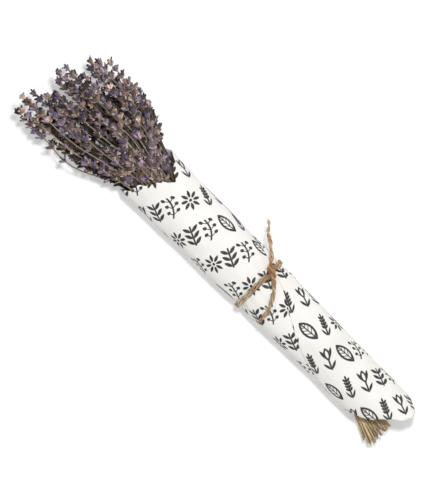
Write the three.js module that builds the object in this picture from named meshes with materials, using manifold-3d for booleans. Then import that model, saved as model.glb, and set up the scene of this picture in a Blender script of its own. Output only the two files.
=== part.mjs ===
// A bunch of dried lavender, rolled in one sheet of paper and tied with a doubled jute twine.
// It lies on its side. Millimetres, +Z up, +X along the bunch towards the flowers.
// The origin is on the surface it lies on, under the middle of its box.
import * as THREE from "three";
import { mergeVertices } from "three/addons/utils/BufferGeometryUtils.js";
import Module from "manifold-3d";

const wasm = await Module();
wasm.setup();

// Driving dimensions of the stems and flower spikes
const STEM_HALF_DIAGONAL = 0.85; // a lavender stem is square, 1.2 mm across its flats
const CUT_X = -200; // the middle of the cut ends
const CUT_SCATTER = 3;
const LEVEL_STEP = 33; // three lengths of sprig, so that spikes nest between their neighbours
const WHORL_PITCH = 7;
const WHORL_HEIGHT = 2;
const FIRST_WHORL_Z = 2.5; // over the spike's seat
const APEX_LENGTH = 5; // the bare point over the last whorl
const AXIS_HALF_DIAGONAL_UNDER = 1.25; // of the spike's axis, under and over its lowest whorl
const AXIS_HALF_DIAGONAL_OVER = 1.15;
const SPIKE_TAPER = 0.3; // how much smaller the whorls get towards the tip
const BUD_LENGTH = 6.2;
const BUD_HALF_WIDTH = 1.55;
const BUD_WIDEST = 0.52; // share of its length
const BUD_FLANK = -0.6; // how far in the bud's two flanks are, in half widths
const BUD_TILT = THREE.MathUtils.degToRad(37);
const SPIKE_SEAT_GAP = 0.3;

// How far the longest sprigs reach in x, by their place across the bunch from -1 to 1
const CROWN = [
  [-1, 165], [-0.86, 184], [-0.66, 189], [-0.48, 188], [-0.3, 200], [-0.15, 199.5],
  [0.02, 195], [0.33, 199.5], [0.6, 208.5], [0.78, 205], [1, 203],
];
const CROWN_DOME = 8; // how much shorter the sprigs at the top and the bottom are
const TIP_SCATTER = 7;
const SHIFT_WIDE = 3; // how far a sprig strays from its place outside the paper, level and upright
const SHIFT_HIGH = 0.8;

// Leaves left on the stems: sprig, x, and degrees round the stem from +Y towards +Z
const LEAVES = [
  [44, 158, 0], [44, 158, 180], [49, 116, -15], [9, 97, 35], [14, 131, 30],
  [16, 121, 80], [18, 128, 110], [24, 122, 150], [26, 113, 170], [33, 103, 195],
];

// The field that the stems fill: x, centre y, centre z, half width, half height
const FIELD = [
  [-210, 20.2, 10.6, 13.8, 5.9],
  [-172, 10.8, 12.8, 8.5, 6.0],
  [-120, 3.0, 10.2, 6.8, 6.2],
  [-43, 0.0, 11.0, 5.9, 5.9],
  [20, 0.0, 14.0, 12.5, 9.5],
  [70, 0.0, 20.0, 21.0, 14.5],
  [95, 0.0, 23.5, 25.5, 17.5],
  [120, -2.0, 27.5, 35.0, 21.5],
  [150, -0.5, 31.5, 42.0, 25.0],
  [180, 0.5, 33.0, 44.0, 26.5],
  [212, 1.5, 34.0, 44.5, 27.0],
];
const STEM_RINGS_X = [-170, -43, 15, 60, 95, 138];
const FIRST_FLOWER_X = 97; // no spike starts inside the paper
const SHIFT_FROM_X = 60;
const SHIFT_TO_X = 140;
const CLUMP_PINCH = 0.28; // how far the twine draws the members of a clump together
const PINCH_SPREAD = 24;
const STRAY_SPRIG = 44; // the sprig that bends out of the bunch on its own
const STRAY_RING_X = 157; // one more where the stray sprig has its leaves
const STRAY_BEND = 6;
const STRAY_BEND_X = 134;
const STRAY_BEND_SPREAD = 24;
const LEAF_LENGTH = 8;
const LEAF_HALF_WIDTH = 1.15;
const LEAF_HALF_THICKNESS = 0.4;
const LEAF_TILT = THREE.MathUtils.degToRad(38);
const SEED = 23;

// Driving dimensions of the paper
const SHEET_THICKNESS = 0.6;
const LAYER_GAP = 0.35;
const INNER_EDGE_ANGLE = -520; // the sheet goes round once and laps itself
const STRAIGHT_ANGLE = -150; // from here on, the grid slants with the free edge
const WRAP_HALF_WIDTH_FOOT = 22.9; // at x = -210
const WRAP_HALF_WIDTH_MOUTH = 27.6; // at x = 90
const WRAP_FLATTENING = 0.8; // height over width of the rolled sheet
const WRAP_SAG = 1.4; // how far the roll is pressed flat on the surface
const SEAM_X = -79; // where the free edge crosses the top
const SEAM_SLOPE = 1.42; // degrees a millimetre
const SEAM_REACH = 100; // degrees either side of the top
const NOTCH_X = 67; // the lowest place of the edge at the flowers
const NOTCH_ANGLE = -22;
const NOTCH_HALF_ANGLE = 7;
const NOTCH_SPREAD = 52;
const MOUTH_RISE = 29; // how much further the edge reaches away from the notch
const SCALLOP_DEPTH = 1.3;
const SCALLOP_COUNT = 10;
const SCALLOP_TURN = 40;

// Driving dimensions of the twine
const TWINE_X = -43;
const TWINE_RADIUS = 1.1;
const TWINE_CLEARANCE = 0.45;
const STRAND_OFFSET = 1.2; // two strands lie side by side, and wind round each other in the tails
const CINCH = 1.3; // how far the twine draws the paper in
const CINCH_SPREAD = 11;
const TWINE_LIFT = 3.0; // the paper's underside clears the twine below it
const KNOT_ANGLE = -32; // degrees from the top towards -Y
const ROUND_STEP = 12; // degrees between two points of the turn round the roll
const KNOT_HALF_GAP = 18; // degrees from the knot to where the turn starts and ends
const TAIL_TURN = THREE.MathUtils.degToRad(45); // how far the tails' strands wind from point to point

// The tail that stands off the roll: x, y, z
const UPPER_TAIL = [[-9.5, -43.5, 33], [-18.5, -35.5, 35.5], [-27, -29.5, 37], [-35, -23, 38.2]];

// Points of the knot and of the tail that lies on the roll: x from the twine's, degrees from the knot's, and
// height of the centre line over its lowest place on the paper
const INTO_TURN = [[3.5, -4, 3.4], [-0.5, 1, 3.2], [-2.2, 8, 1.8]];
const OUT_OF_TURN = [[2.2, -8, 1.2], [1.8, 2, 1.9], [-3.5, 6, 2.6]];
const LOWER_TAIL = [
  [-9, 14, 2.2], [-13, 23, 1.5], [-17, 36, 1.2], [-20.5, 51, 1.2], [-22, 68, 1.2], [-21.5, 87, 1.2],
];
const KNOT_ARCH = [[-5.2, 7, 0], [-4.6, 5, 2.6], [-0.6, 1, 4.9], [3.4, -3, 3.2], [4.4, -5, 0.2]];
const ARCH_APART = 5; // degrees between the knot's two arches
const TWINE_SIDES = 5;
const STRAND_STEPS = 40;
const ARCH_STEPS = 5;

const paperWhite = new THREE.MeshStandardMaterial({ color: 0xf3f1ea, roughness: 0.75, metalness: 0 });
const juteBrown = new THREE.MeshStandardMaterial({ color: 0xa9855a, roughness: 0.95, metalness: 0 });
const stemTan = new THREE.MeshStandardMaterial({ color: 0x8c7a5c, roughness: 0.85, metalness: 0 });
const flowerViolet = new THREE.MeshStandardMaterial({ color: 0x5f5870, roughness: 0.9, metalness: 0 });

const degrees = THREE.MathUtils.degToRad;
const smooth = (edge0, edge1, v) => THREE.MathUtils.smoothstep(v, edge0, edge1);
const bump = (v, middle, spread) => Math.exp(-(((v - middle) / spread) ** 2));

// A seeded draw from 0 to 1 for sprig n and purpose k
function draw(n, k) {
  const s = Math.sin(n * 12.9898 + k * 78.233 + SEED * 37.719) * 43758.5453;
  return s - Math.floor(s);
}

// A smooth curve through the rows of a table, whose first column is x
function across(table, x) {
  const last = table.length - 1;
  let i = 0;
  while (i < last - 1 && x > table[i + 1][0]) i++;
  const slope = (k, c) => {
    const a = table[Math.max(0, k - 1)];
    const b = table[Math.min(last, k + 1)];
    return (b[c] - a[c]) / (b[0] - a[0]);
  };
  const [p, q] = [table[i], table[i + 1]];
  const h = q[0] - p[0];
  const t = (x - p[0]) / h;
  return p.slice(1).map((_, k) => {
    const c = k + 1;
    return (
      (2 * t ** 3 - 3 * t ** 2 + 1) * p[c] +
      (t ** 3 - 2 * t ** 2 + t) * h * slope(i, c) +
      (3 * t ** 2 - 2 * t ** 3) * q[c] +
      (t ** 3 - t ** 2) * h * slope(i + 1, c)
    );
  });
}

// The sprigs stand on a triangular lattice of seven clumps with seven stems each.
const SIX = [[1, 0], [0, 1], [-1, 1], [-1, 0], [0, -1], [1, -1]];
const MEMBERS = [[0, 0], ...SIX];
const CLUMPS = [[0, 0], ...SIX.map(([i, j]) => [2 * i - j, i + 3 * j])];
const LATTICE_RADIUS = 1 + Math.sqrt(7);
const LATTICE_TURN = THREE.MathUtils.degToRad(19.1); // so that no two sprigs stand over each other
function toPlane([i, j]) {
  const place = new THREE.Vector2(i + j / 2, (j * Math.sqrt(3)) / 2).divideScalar(LATTICE_RADIUS);
  return place.rotateAround(new THREE.Vector2(), LATTICE_TURN).toArray();
}

function sprigOf(clump, member) {
  const number = clump * 7 + member + 1;
  const lattice = [CLUMPS[clump][0] + MEMBERS[member][0], CLUMPS[clump][1] + MEMBERS[member][1]];
  const [p, q] = toPlane(lattice);
  const level = (((lattice[0] - lattice[1]) % 3) + 3) % 3;
  const whorls = level === 2 ? 4 : 5;
  const crown = across(CROWN, p)[0] - CROWN_DOME * q * q;
  const wanted = crown - LEVEL_STEP * level + TIP_SCATTER * (draw(number, 1) - 0.5);
  const tip = Math.max(wanted, FIRST_FLOWER_X + spikeLength(whorls));
  return {
    number,
    clump: toPlane(CLUMPS[clump]),
    member: toPlane(MEMBERS[member]),
    tip,
    whorls,
    base: tip - spikeLength(whorls),
    cut: CUT_X + CUT_SCATTER * (2 * draw(number, 2) - 1),
    shift: [SHIFT_WIDE * (draw(number, 3) - 0.5), SHIFT_HIGH * (draw(number, 4) - 0.5)],
  };
}

// Where sprig s is at x. At the twine, the members of a clump are pinched until they touch.
function sprigAt(s, x) {
  const [y, z, halfWidth, halfHeight] = across(FIELD, x);
  const pinch = 1 - CLUMP_PINCH * bump(x, TWINE_X, PINCH_SPREAD);
  const spread = smooth(SHIFT_FROM_X, SHIFT_TO_X, x);
  const bend = s.number === STRAY_SPRIG ? STRAY_BEND * bump(x, STRAY_BEND_X, STRAY_BEND_SPREAD) : 0;
  return new THREE.Vector3(
    x,
    y + halfWidth * (s.clump[0] + pinch * s.member[0]) + spread * s.shift[0] + bend,
    z + halfHeight * (s.clump[1] + pinch * s.member[1]) + spread * s.shift[1],
  );
}

function spikeLength(whorls) {
  return FIRST_WHORL_Z + WHORL_PITCH * (whorls - 1) + WHORL_HEIGHT + APEX_LENGTH;
}

function closedGeometry(points, faces) {
  const g = new THREE.BufferGeometry().setFromPoints(points);
  g.setIndex(faces.flat());
  return g;
}

// A square rod whose section stands across the line through the points
function rodGeometry(points, halfDiagonal) {
  const up = new THREE.Vector3(0, 0, 1);
  const corners = [];
  points.forEach((point, k) => {
    const [before, after] = [points[Math.max(k - 1, 0)], points[Math.min(k + 1, points.length - 1)]];
    const along = after.clone().sub(before).normalize();
    const side = up.clone().cross(along).normalize();
    const rise = along.clone().cross(side);
    for (const [a, b] of [[1, 0], [0, 1], [-1, 0], [0, -1]]) {
      const corner = point.clone().addScaledVector(side, a * halfDiagonal);
      corners.push(corner.addScaledVector(rise, b * halfDiagonal));
    }
  });
  const faces = [[0, 2, 1], [0, 3, 2]];
  for (let k = 0; k < points.length - 1; k++) faces.push(...bridgeSquares(4 * k, 4 * k + 4));
  const e = 4 * (points.length - 1);
  faces.push([e, e + 1, e + 2], [e, e + 2, e + 3]);
  return closedGeometry(corners, faces);
}

// The eight triangles between two rings of four corners
function bridgeSquares(lower, upper) {
  return [0, 1, 2, 3].flatMap((k) => {
    const n = (k + 1) % 4;
    return [[lower + k, lower + n, upper + n], [lower + k, upper + n, upper + k]];
  });
}

// A narrow leaf that grows out of the rod through the points, at x
function leafGeometry(rod, x, turn) {
  const next = rod.find((point) => point.x > x);
  const last = rod[rod.indexOf(next) - 1];
  const root = last.clone().lerp(next, (x - last.x) / (next.x - last.x));
  const along = next.clone().sub(last).normalize();
  const out = new THREE.Vector3(0, Math.cos(turn), Math.sin(turn)).projectOnPlane(along).normalize();
  const reach = along.clone().multiplyScalar(Math.cos(LEAF_TILT)).addScaledVector(out, Math.sin(LEAF_TILT));
  const wide = reach.clone().cross(out).normalize();
  const thick = reach.clone().cross(wide);
  const points = [];
  for (const [share, width] of [[0, 0.5], [0.4, 1]]) {
    for (const [a, b] of [[1, 0], [0, 1], [-1, 0], [0, -1]]) {
      points.push(
        root
          .clone()
          .addScaledVector(reach, share * LEAF_LENGTH)
          .addScaledVector(wide, a * width * LEAF_HALF_WIDTH)
          .addScaledVector(thick, b * LEAF_HALF_THICKNESS),
      );
    }
  }
  points.push(root.clone().addScaledVector(reach, LEAF_LENGTH));
  const tip = [0, 1, 2, 3].map((k) => [4 + k, 4 + ((k + 1) % 4), 8]);
  return closedGeometry(points, [[0, 2, 1], [0, 3, 2], ...bridgeSquares(0, 4), ...tip]);
}

// A flower spike along +Z from its seat: whorls of four buds out of the sides of a square axis,
// with slim buds at the top
function spikeGeometry(whorls) {
  const points = [];
  const faces = [];
  const ring = (z, radius, turn) => {
    for (let k = 0; k < 4; k++) {
      const a = turn + (k * Math.PI) / 2;
      points.push(new THREE.Vector3(radius * Math.cos(a), radius * Math.sin(a), z));
    }
    return points.length - 4;
  };
  const bud = ([a, b, c, d], size, slim) => {
    const seat = [a, b, c, d].reduce((sum, k) => sum.add(points[k]), new THREE.Vector3()).divideScalar(4);
    const out = new THREE.Vector3(seat.x, seat.y, 0).normalize();
    const along = new THREE.Vector3(0, 0, Math.cos(BUD_TILT)).addScaledVector(out, Math.sin(BUD_TILT));
    points.push(seat.clone().addScaledVector(along, BUD_LENGTH * size));
    const tip = points.length - 1;
    if (slim) {
      faces.push([a, b, tip], [b, c, tip], [c, d, tip], [d, a, tip]);
      return;
    }
    const wide = new THREE.Vector3(0, 0, 1).cross(out);
    const under = out.clone().multiplyScalar(Math.cos(BUD_TILT)).setZ(-Math.sin(BUD_TILT));
    for (const [u, v] of [[1, 0], [BUD_FLANK, 1], [BUD_FLANK, -1]]) {
      points.push(
        seat
          .clone()
          .addScaledVector(along, BUD_WIDEST * BUD_LENGTH * size)
          .addScaledVector(under, u * BUD_HALF_WIDTH * size)
          .addScaledVector(wide, v * BUD_HALF_WIDTH * size),
      );
    }
    const [m, n, o] = [tip + 1, tip + 2, tip + 3];
    faces.push([a, b, m], [b, c, n], [b, n, m], [c, d, o], [c, o, n], [d, a, m], [d, m, o]);
    faces.push([m, n, tip], [n, o, tip], [o, m, tip]);
  };
  let below = ring(0, STEM_HALF_DIAGONAL, 0);
  faces.push([0, 2, 1], [0, 3, 2]);
  for (let w = 0; w < whorls; w++) {
    const z = FIRST_WHORL_Z + WHORL_PITCH * w;
    const size = 1 - (SPIKE_TAPER * w) / whorls;
    const turn = (w * Math.PI) / 4;
    const lower = ring(z, AXIS_HALF_DIAGONAL_UNDER * size, turn);
    const upper = ring(z + WHORL_HEIGHT, AXIS_HALF_DIAGONAL_OVER * size, turn);
    faces.push(...bridgeSquares(below, lower));
    for (let k = 0; k < 4; k++) {
      const n = (k + 1) % 4;
      bud([lower + k, lower + n, upper + n, upper + k], size, w === whorls - 1);
    }
    below = upper;
  }
  const apex = points.length;
  points.push(new THREE.Vector3(0, 0, spikeLength(whorls)));
  for (let k = 0; k < 4; k++) faces.push([below + k, below + ((k + 1) % 4), apex]);
  return closedGeometry(points, faces);
}

// The half width and half height of the paper roll's outside at x, and the height of its middle
function wrapAt(x) {
  const free = THREE.MathUtils.mapLinear(x, -210, 90, WRAP_HALF_WIDTH_FOOT, WRAP_HALF_WIDTH_MOUTH);
  const drawn = CINCH * bump(x, TWINE_X, CINCH_SPREAD);
  return {
    halfWidth: free - drawn,
    halfHeight: WRAP_FLATTENING * free - drawn,
    middle: WRAP_FLATTENING * free - WRAP_SAG,
    floor: TWINE_LIFT * bump(x, TWINE_X, CINCH_SPREAD),
  };
}

// A point at an angle from the top towards +Y, out from the roll's outside by a distance
function wrapPoint(x, angle, out, floorRise = 0) {
  const w = wrapAt(x);
  const a = degrees(angle);
  return new THREE.Vector3(
    x,
    (w.halfWidth + out) * Math.sin(a),
    Math.max(w.middle + (w.halfHeight + out) * Math.cos(a), w.floor + floorRise - out),
  );
}

// The sheet's free edge, its notched mouth at the flowers and its slanting foot, by the angle round the roll
const seamAngle = (x) => SEAM_REACH * Math.tanh((SEAM_SLOPE * (SEAM_X - x)) / SEAM_REACH);
const wrapped = (angle) => ((((angle + 180) % 360) + 360) % 360) - 180;
function mouthX(angle) {
  const away = Math.hypot(wrapped(angle - NOTCH_ANGLE), NOTCH_HALF_ANGLE) - NOTCH_HALF_ANGLE;
  const scallops = SCALLOP_DEPTH * Math.cos(degrees(angle * SCALLOP_COUNT + SCALLOP_TURN));
  return NOTCH_X + MOUTH_RISE * (1 - Math.exp(-away / NOTCH_SPREAD)) + scallops;
}
const FOOT = [
  [-180, -184], [-125, -186], [-90, -195], [-70, -203], [-55, -208.5], [-40, -211.5], [-20, -210],
  [-5, -205], [10, -197.5], [30, -191], [45, -185.5], [58, -176.5], [74, -172], [90, -170.5],
  [125, -173], [180, -184],
];
const footX = (angle) => across(FOOT, wrapped(angle))[0];

const WRAP_ROWS_X = [-150, -132, -117, -103, -91, -80, -69, -58, -49, -43, -36, -26, -8, 18, 52];
const STRAIGHT_COLUMNS = 19;
const SLANTED_COLUMNS = 11;

function gridAngle(column, x) {
  if (column <= STRAIGHT_COLUMNS) {
    return THREE.MathUtils.lerp(INNER_EDGE_ANGLE, STRAIGHT_ANGLE, column / STRAIGHT_COLUMNS);
  }
  return THREE.MathUtils.lerp(STRAIGHT_ANGLE, seamAngle(x), (column - STRAIGHT_COLUMNS) / SLANTED_COLUMNS);
}

// One sheet rolled on itself: an outer and an inner skin with a rim round all four edges
function wrapGeometry() {
  const rows = WRAP_ROWS_X.length + 2;
  const columns = STRAIGHT_COLUMNS + SLANTED_COLUMNS + 1;
  const points = [];
  for (const inner of [0, 1]) {
    for (let r = 0; r < rows; r++) {
      for (let c = 0; c < columns; c++) {
        const x0 = r === 0 ? -190 : r === rows - 1 ? 85 : WRAP_ROWS_X[r - 1];
        const angle = gridAngle(c, x0);
        const behind = seamAngle(x0) - angle;
        const x = r === 0 ? footX(angle) : r === rows - 1 ? mouthX(angle) : x0;
        const layer = SHEET_THICKNESS + LAYER_GAP;
        const inwards = (layer * behind) / 360 + inner * SHEET_THICKNESS;
        const rise = layer * smooth(345, 365, behind) + inner * SHEET_THICKNESS - inwards;
        points.push(wrapPoint(x, angle, -inwards, rise));
      }
    }
  }
  const faces = [];
  const at = (inner, r, c) => (inner * rows + r) * columns + c;
  const quad = (a, b, c, d) => faces.push([a, c, b], [a, d, c]);
  for (let r = 0; r < rows - 1; r++) {
    for (let c = 0; c < columns - 1; c++) {
      quad(at(0, r, c), at(0, r, c + 1), at(0, r + 1, c + 1), at(0, r + 1, c));
      quad(at(1, r, c), at(1, r + 1, c), at(1, r + 1, c + 1), at(1, r, c + 1));
    }
    quad(at(0, r, 0), at(0, r + 1, 0), at(1, r + 1, 0), at(1, r, 0));
    quad(at(0, r, columns - 1), at(1, r, columns - 1), at(1, r + 1, columns - 1), at(0, r + 1, columns - 1));
  }
  for (let c = 0; c < columns - 1; c++) {
    quad(at(0, 0, c), at(1, 0, c), at(1, 0, c + 1), at(0, 0, c + 1));
    quad(at(0, rows - 1, c), at(0, rows - 1, c + 1), at(1, rows - 1, c + 1), at(1, rows - 1, c));
  }
  return closedGeometry(points, faces);
}

// Points of the twine by x, angle round the roll and height of the centre line over its lowest place
const LAID = TWINE_CLEARANCE + TWINE_RADIUS;
const onWrap = (list) => list.map(([x, angle, out]) => wrapPoint(x, angle, LAID + out));
const atKnot = (x, list) => onWrap(list.map(([dx, turn, out]) => [x + dx, KNOT_ANGLE + turn, out]));

// One strand: a free tail, the knot, once round the roll, the knot again and the other tail. The tails' two
// strands stand off their common line on opposite sides, and this side turns as the tail runs.
function strandPoints(side) {
  const x = TWINE_X + side * STRAND_OFFSET;
  const shorter = side > 0 ? 0 : 1;
  const offset = (k) => [Math.cos, Math.sin].map((f) => side * STRAND_OFFSET * f(k * TAIL_TURN));
  const upperTail = UPPER_TAIL.map((row, k) => {
    const [level, upright] = offset(UPPER_TAIL.length - k);
    return new THREE.Vector3(...row).add(new THREE.Vector3(0.63 * level, 0.78 * level, upright));
  }).slice(shorter);
  const round = [];
  for (let turn = KNOT_HALF_GAP; turn <= 360 - KNOT_HALF_GAP; turn += ROUND_STEP) {
    round.push([x, KNOT_ANGLE + turn, 0]);
  }
  const lowerTail = LOWER_TAIL.map(([dx, turn, out], k) => {
    const [level, upright] = offset(k + 1);
    return [TWINE_X + dx + level, KNOT_ANGLE + turn, out + upright];
  }).slice(0, LOWER_TAIL.length - shorter);
  const [into, outOf] = [INTO_TURN, OUT_OF_TURN].map((list) => atKnot(x, list));
  return [...upperTail, ...into, ...onWrap(round), ...outOf, ...onWrap(lowerTail)];
}

// The doubled twine passes once more over the knot.
function archPoints(side) {
  return atKnot(TWINE_X, KNOT_ARCH.map(([dx, turn, out]) => [dx, turn + (side * ARCH_APART) / 2, out]));
}

function tubeGeometry(points, radius, sides, steps) {
  const section = new THREE.Shape(
    Array.from({ length: sides }, (_, k) => {
      const a = (2 * Math.PI * k) / sides;
      return new THREE.Vector2(radius * Math.cos(a), radius * Math.sin(a));
    }),
  );
  const extrudePath = new THREE.CatmullRomCurve3(points, false, "centripetal");
  return new THREE.ExtrudeGeometry(section, { steps, bevelEnabled: false, extrudePath });
}

// Joins overlapping closed geometries into one body.
function fuse(geometries) {
  const solids = geometries.map((g) => {
    const bare = new THREE.BufferGeometry().setAttribute("position", g.getAttribute("position"));
    if (g.index) bare.setIndex(g.index);
    const merged = mergeVertices(bare, 1e-4);
    const vertProperties = merged.attributes.position.array;
    const triVerts = new Uint32Array(merged.index.array);
    return new wasm.Manifold(new wasm.Mesh({ numProp: 3, vertProperties, triVerts }));
  });
  const joined = solids.reduce((sum, s) => sum.add(s)).getMesh();
  const g = new THREE.BufferGeometry();
  g.setAttribute("position", new THREE.BufferAttribute(joined.vertProperties, 3));
  g.setIndex(new THREE.BufferAttribute(joined.triVerts, 1));
  return g;
}

function named(name, geometry, material) {
  const mesh = new THREE.Mesh(geometry, material);
  mesh.name = name;
  return mesh;
}

const bunch = new THREE.Group();
const two = (n) => String(n).padStart(2, "0");

const spikeShapes = { 4: spikeGeometry(4), 5: spikeGeometry(5) };
for (let clump = 0; clump < 7; clump++) {
  const rods = [];
  for (let member = 0; member < 7; member++) {
    const s = sprigOf(clump, member);
    const ringsX = [s.cut, ...STEM_RINGS_X.filter((x) => x < s.base - 8), s.base];
    if (s.number === STRAY_SPRIG) ringsX.splice(-1, 0, STRAY_RING_X);
    const rings = ringsX.map((x) => sprigAt(s, x));
    rods.push(rodGeometry(rings, STEM_HALF_DIAGONAL));
    for (const [number, x, turn] of LEAVES) {
      if (number === s.number) rods.push(leafGeometry(rings, x, degrees(turn)));
    }
    const seat = rings[rings.length - 1];
    const along = sprigAt(s, s.base + 20).sub(seat).normalize();
    const spike = named("spike_" + two(s.number), spikeShapes[s.whorls], flowerViolet);
    spike.position.copy(seat).addScaledVector(along, SPIKE_SEAT_GAP);
    spike.quaternion.setFromUnitVectors(new THREE.Vector3(0, 0, 1), along);
    bunch.add(spike);
  }
  bunch.add(named("stems_" + (clump + 1), fuse(rods), stemTan));
}

bunch.add(named("paper_wrap", wrapGeometry(), paperWhite));
const twine = [-1, 1].flatMap((side) => [
  tubeGeometry(strandPoints(side), TWINE_RADIUS, TWINE_SIDES, STRAND_STEPS),
  tubeGeometry(archPoints(side), TWINE_RADIUS, TWINE_SIDES, ARCH_STEPS),
]);
bunch.add(named("twine_tie", fuse(twine), juteBrown));

export default bunch;
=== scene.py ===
"""A bunch of dried lavender, rolled in one sheet of printed paper and tied with a doubled jute twine.

It lies on its side, +Z up and +X along the bunch towards the flowers. Shapes are worked out in millimetres.
Meshes, settings, finishes and the stage are in metres. The stems, the flower spikes, the paper and the
twine follow the same lines as the solids.
"""

import math

import bpy
import numpy as np
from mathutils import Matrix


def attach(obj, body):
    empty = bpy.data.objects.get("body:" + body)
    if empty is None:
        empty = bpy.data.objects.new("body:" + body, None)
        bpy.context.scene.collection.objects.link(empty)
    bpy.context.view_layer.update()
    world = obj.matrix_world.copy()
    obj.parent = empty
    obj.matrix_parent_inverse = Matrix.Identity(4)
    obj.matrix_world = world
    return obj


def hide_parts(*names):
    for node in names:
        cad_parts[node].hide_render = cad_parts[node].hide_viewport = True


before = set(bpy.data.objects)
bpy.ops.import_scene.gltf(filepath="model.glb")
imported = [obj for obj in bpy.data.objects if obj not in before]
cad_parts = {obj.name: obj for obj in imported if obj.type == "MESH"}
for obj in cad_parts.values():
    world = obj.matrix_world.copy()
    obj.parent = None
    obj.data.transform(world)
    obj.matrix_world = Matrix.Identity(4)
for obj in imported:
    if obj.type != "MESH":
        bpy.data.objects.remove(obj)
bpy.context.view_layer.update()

bl_info = {
    "name": "Dried lavender bunch",
    "version": (1, 0, 0),
    "blender": (4, 5, 0),
    "location": "View3D > Sidebar > Lavender",
    "description": "Stems, flower spikes, paper wrap and jute twine of a dried lavender bunch",
    "category": "Add Mesh",
}

MM = 0.001
QUARTER = math.pi / 2

# How the sprigs stand, as in the solids
CUT_X = -200
LEVEL_STEP = 33
LEVELS = 3
WHORLS_BY_LEVEL = np.array([5, 5, 4])
WHORL_PITCH = 7
SPIKE_SEAT_GAP = 0.3
WHORL_HEIGHT = 2
FIRST_WHORL_Z = 2.5
APEX_LENGTH = 5
# the outline of the tips: place across the bunch, and x
CROWN = [
    (-1, 165), (-0.86, 184), (-0.66, 189), (-0.48, 188), (-0.3, 200), (-0.15, 199.5),
    (0.02, 195), (0.33, 199.5), (0.6, 208.5), (0.78, 205), (1, 203),
]
CROWN_DOME = 8
TIP_SCATTER = 7
SHIFT_WIDE = 3
SHIFT_HIGH = 0.8
# the bunch along its length: x, then y, z, half width and half height
FIELD = [
    (-210, 20.2, 10.6, 13.8, 5.9),
    (-172, 10.8, 12.8, 8.5, 6.0),
    (-120, 3.0, 10.2, 6.8, 6.2),
    (-43, 0.0, 11.0, 5.9, 5.9),
    (20, 0.0, 14.0, 12.5, 9.5),
    (70, 0.0, 20.0, 21.0, 14.5),
    (95, 0.0, 23.5, 25.5, 17.5),
    (120, -2.0, 27.5, 35.0, 21.5),
    (150, -0.5, 31.5, 42.0, 25.0),
    (180, 0.5, 33.0, 44.0, 26.5),
    (212, 1.5, 34.0, 44.5, 27.0),
]
FIRST_FLOWER_X = 97
SHIFT_FROM_X = 60
SHIFT_TO_X = 140
CLUMP_PINCH = 0.28
PINCH_SPREAD = 24
STRAY_SPRIG = 44
STRAY_BEND = 6
STRAY_BEND_X = 134
STRAY_BEND_SPREAD = 24
SEED = 23
SIX = [(1, 0), (0, 1), (-1, 1), (-1, 0), (0, -1), (1, -1)]
MEMBERS = np.array([(0, 0), *SIX])
CLUMPS = np.array([(0, 0), *[(2 * i - j, i + 3 * j) for i, j in SIX]])
SPRIG_COUNT = len(CLUMPS) * len(MEMBERS)
LATTICE_RADIUS = 1 + math.sqrt(7)
LATTICE_TURN = math.radians(19.1)

# The sprigs of the solids, those beside them and those laid over them: how far the cut ends scatter, least
# and range of a stem's thickness as a share, and how far it sways
SPRIG_KINDS = [(3, 0.72, 0.2, 0.7), (6, 0.5, 0.25, 2.0), (6, 0.56, 0.22, 2.4)]
SWAY_FROM_X = 75
SWAY_TO_X = 150
SWAY_LENGTH = [(13, 8), (14, 9)]  # level and upright: the least and the range
SWAY_START = 7  # how far along its wave a sway can start
SPLAY_FROM_X = -172
SPLAY_TO_X = -202
SPLAY = (4.4, 3.0)
HEADING_LENGTH = 20  # the length of the field that a spike's direction is taken from

# The sprigs beside those of the solids. Places are shares of the bunch's half width and half height
BESIDE_REACH = 0.93
CROWDED_FROM = 0.5  # past this place towards +Y they stand closer by the next share
CROWDED = 0.55
BESIDE_WHORLS = 2
BESIDE_WHORLS_MORE = 3
BESIDE_TIP_DROP = 20
BESIDE_TIP_RANGE = 78
BESIDE_SHIFT_WIDE = 9.0
BESIDE_SHIFT_ASIDE = -2.5
BESIDE_SHIFT_HIGH = 6.0
MOUTH_GAP = -3.5  # from the paper's mouth to where the lowest of them flower
MOUTH_GAP_RANGE = 16
MOUTH_HALF_SIZES = (20, 14.5)
MIDDLE_DELAY = 14  # how much farther out the flowers start in the middle of the bunch
MIDDLE_FROM = 0.6
MIDDLE_TO = 0.2
# where some of them flower from the paper's mouth: middle and half width of the place, its lower end, which
# draw decides, and the share of them
LOW_FLOWERS = [(0, 2, 0.05, 16, 0.16), (-0.65, 0.3, -0.35, 22, 0.5)]

# The sprigs laid over the others: how many, from and to how many degrees from the top towards +Y, share of
# the bunch's radius, whorls, lowest and highest tip, and how far they bend towards +Y and up
LAID_OVER = [
    (24, -60, 60, 0.88, 1, 98, 150, 0, 0),
    (6, 84, 130, 0.78, 3, 120, 148, 2.5, -2),
    (5, -112, -80, 0.8, 3, 126, 148, -6, 0),
    (3, -62, -12, 0.9, 2, 87, 98, -1, 0),
    (2, 8, 62, 0.9, 1, 90, 98, 0, 0),
    (1, -86, -80, 0.72, 4, 190, 190, 0, 0),
    (2, 66, 92, 0.52, 3, 144, 152, 0, 0),
]
LAID_RANGE = 0.13
LAID_TIP_POWER = 1.3  # over 1, more of the tips are low

# The grid over the floor that holds how high the topmost sprig is, for the painted shade under it
COVER_FROM_X = 60
COVER_FROM_Y = -60
COVER_CELL = 3
COVER_CELLS = 60
COVER_STEPS = 80
COVER_HALF_WIDTH = 2.5

# Stems and leaves. A pair of depths is where the painted shade under the topmost sprigs starts and where it
# is full
STEM_RINGS = 56
STEM_CORNERS = 8
STEM_GROOVE = 0.6
STEM_END_GAP = 4
STEM_TAPER = 0.4
STEM_TAPER_FROM_X = 20
STEM_TAPER_TO_X = 200
STEM_RIPPLE = 0.06
STEM_RIPPLE_LENGTH = 9
STEM_RIPPLE_START = 6
STEM_SHADE_DEPTHS = (0.3, 4)
STRAY_SHADE = 0.84
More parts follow.
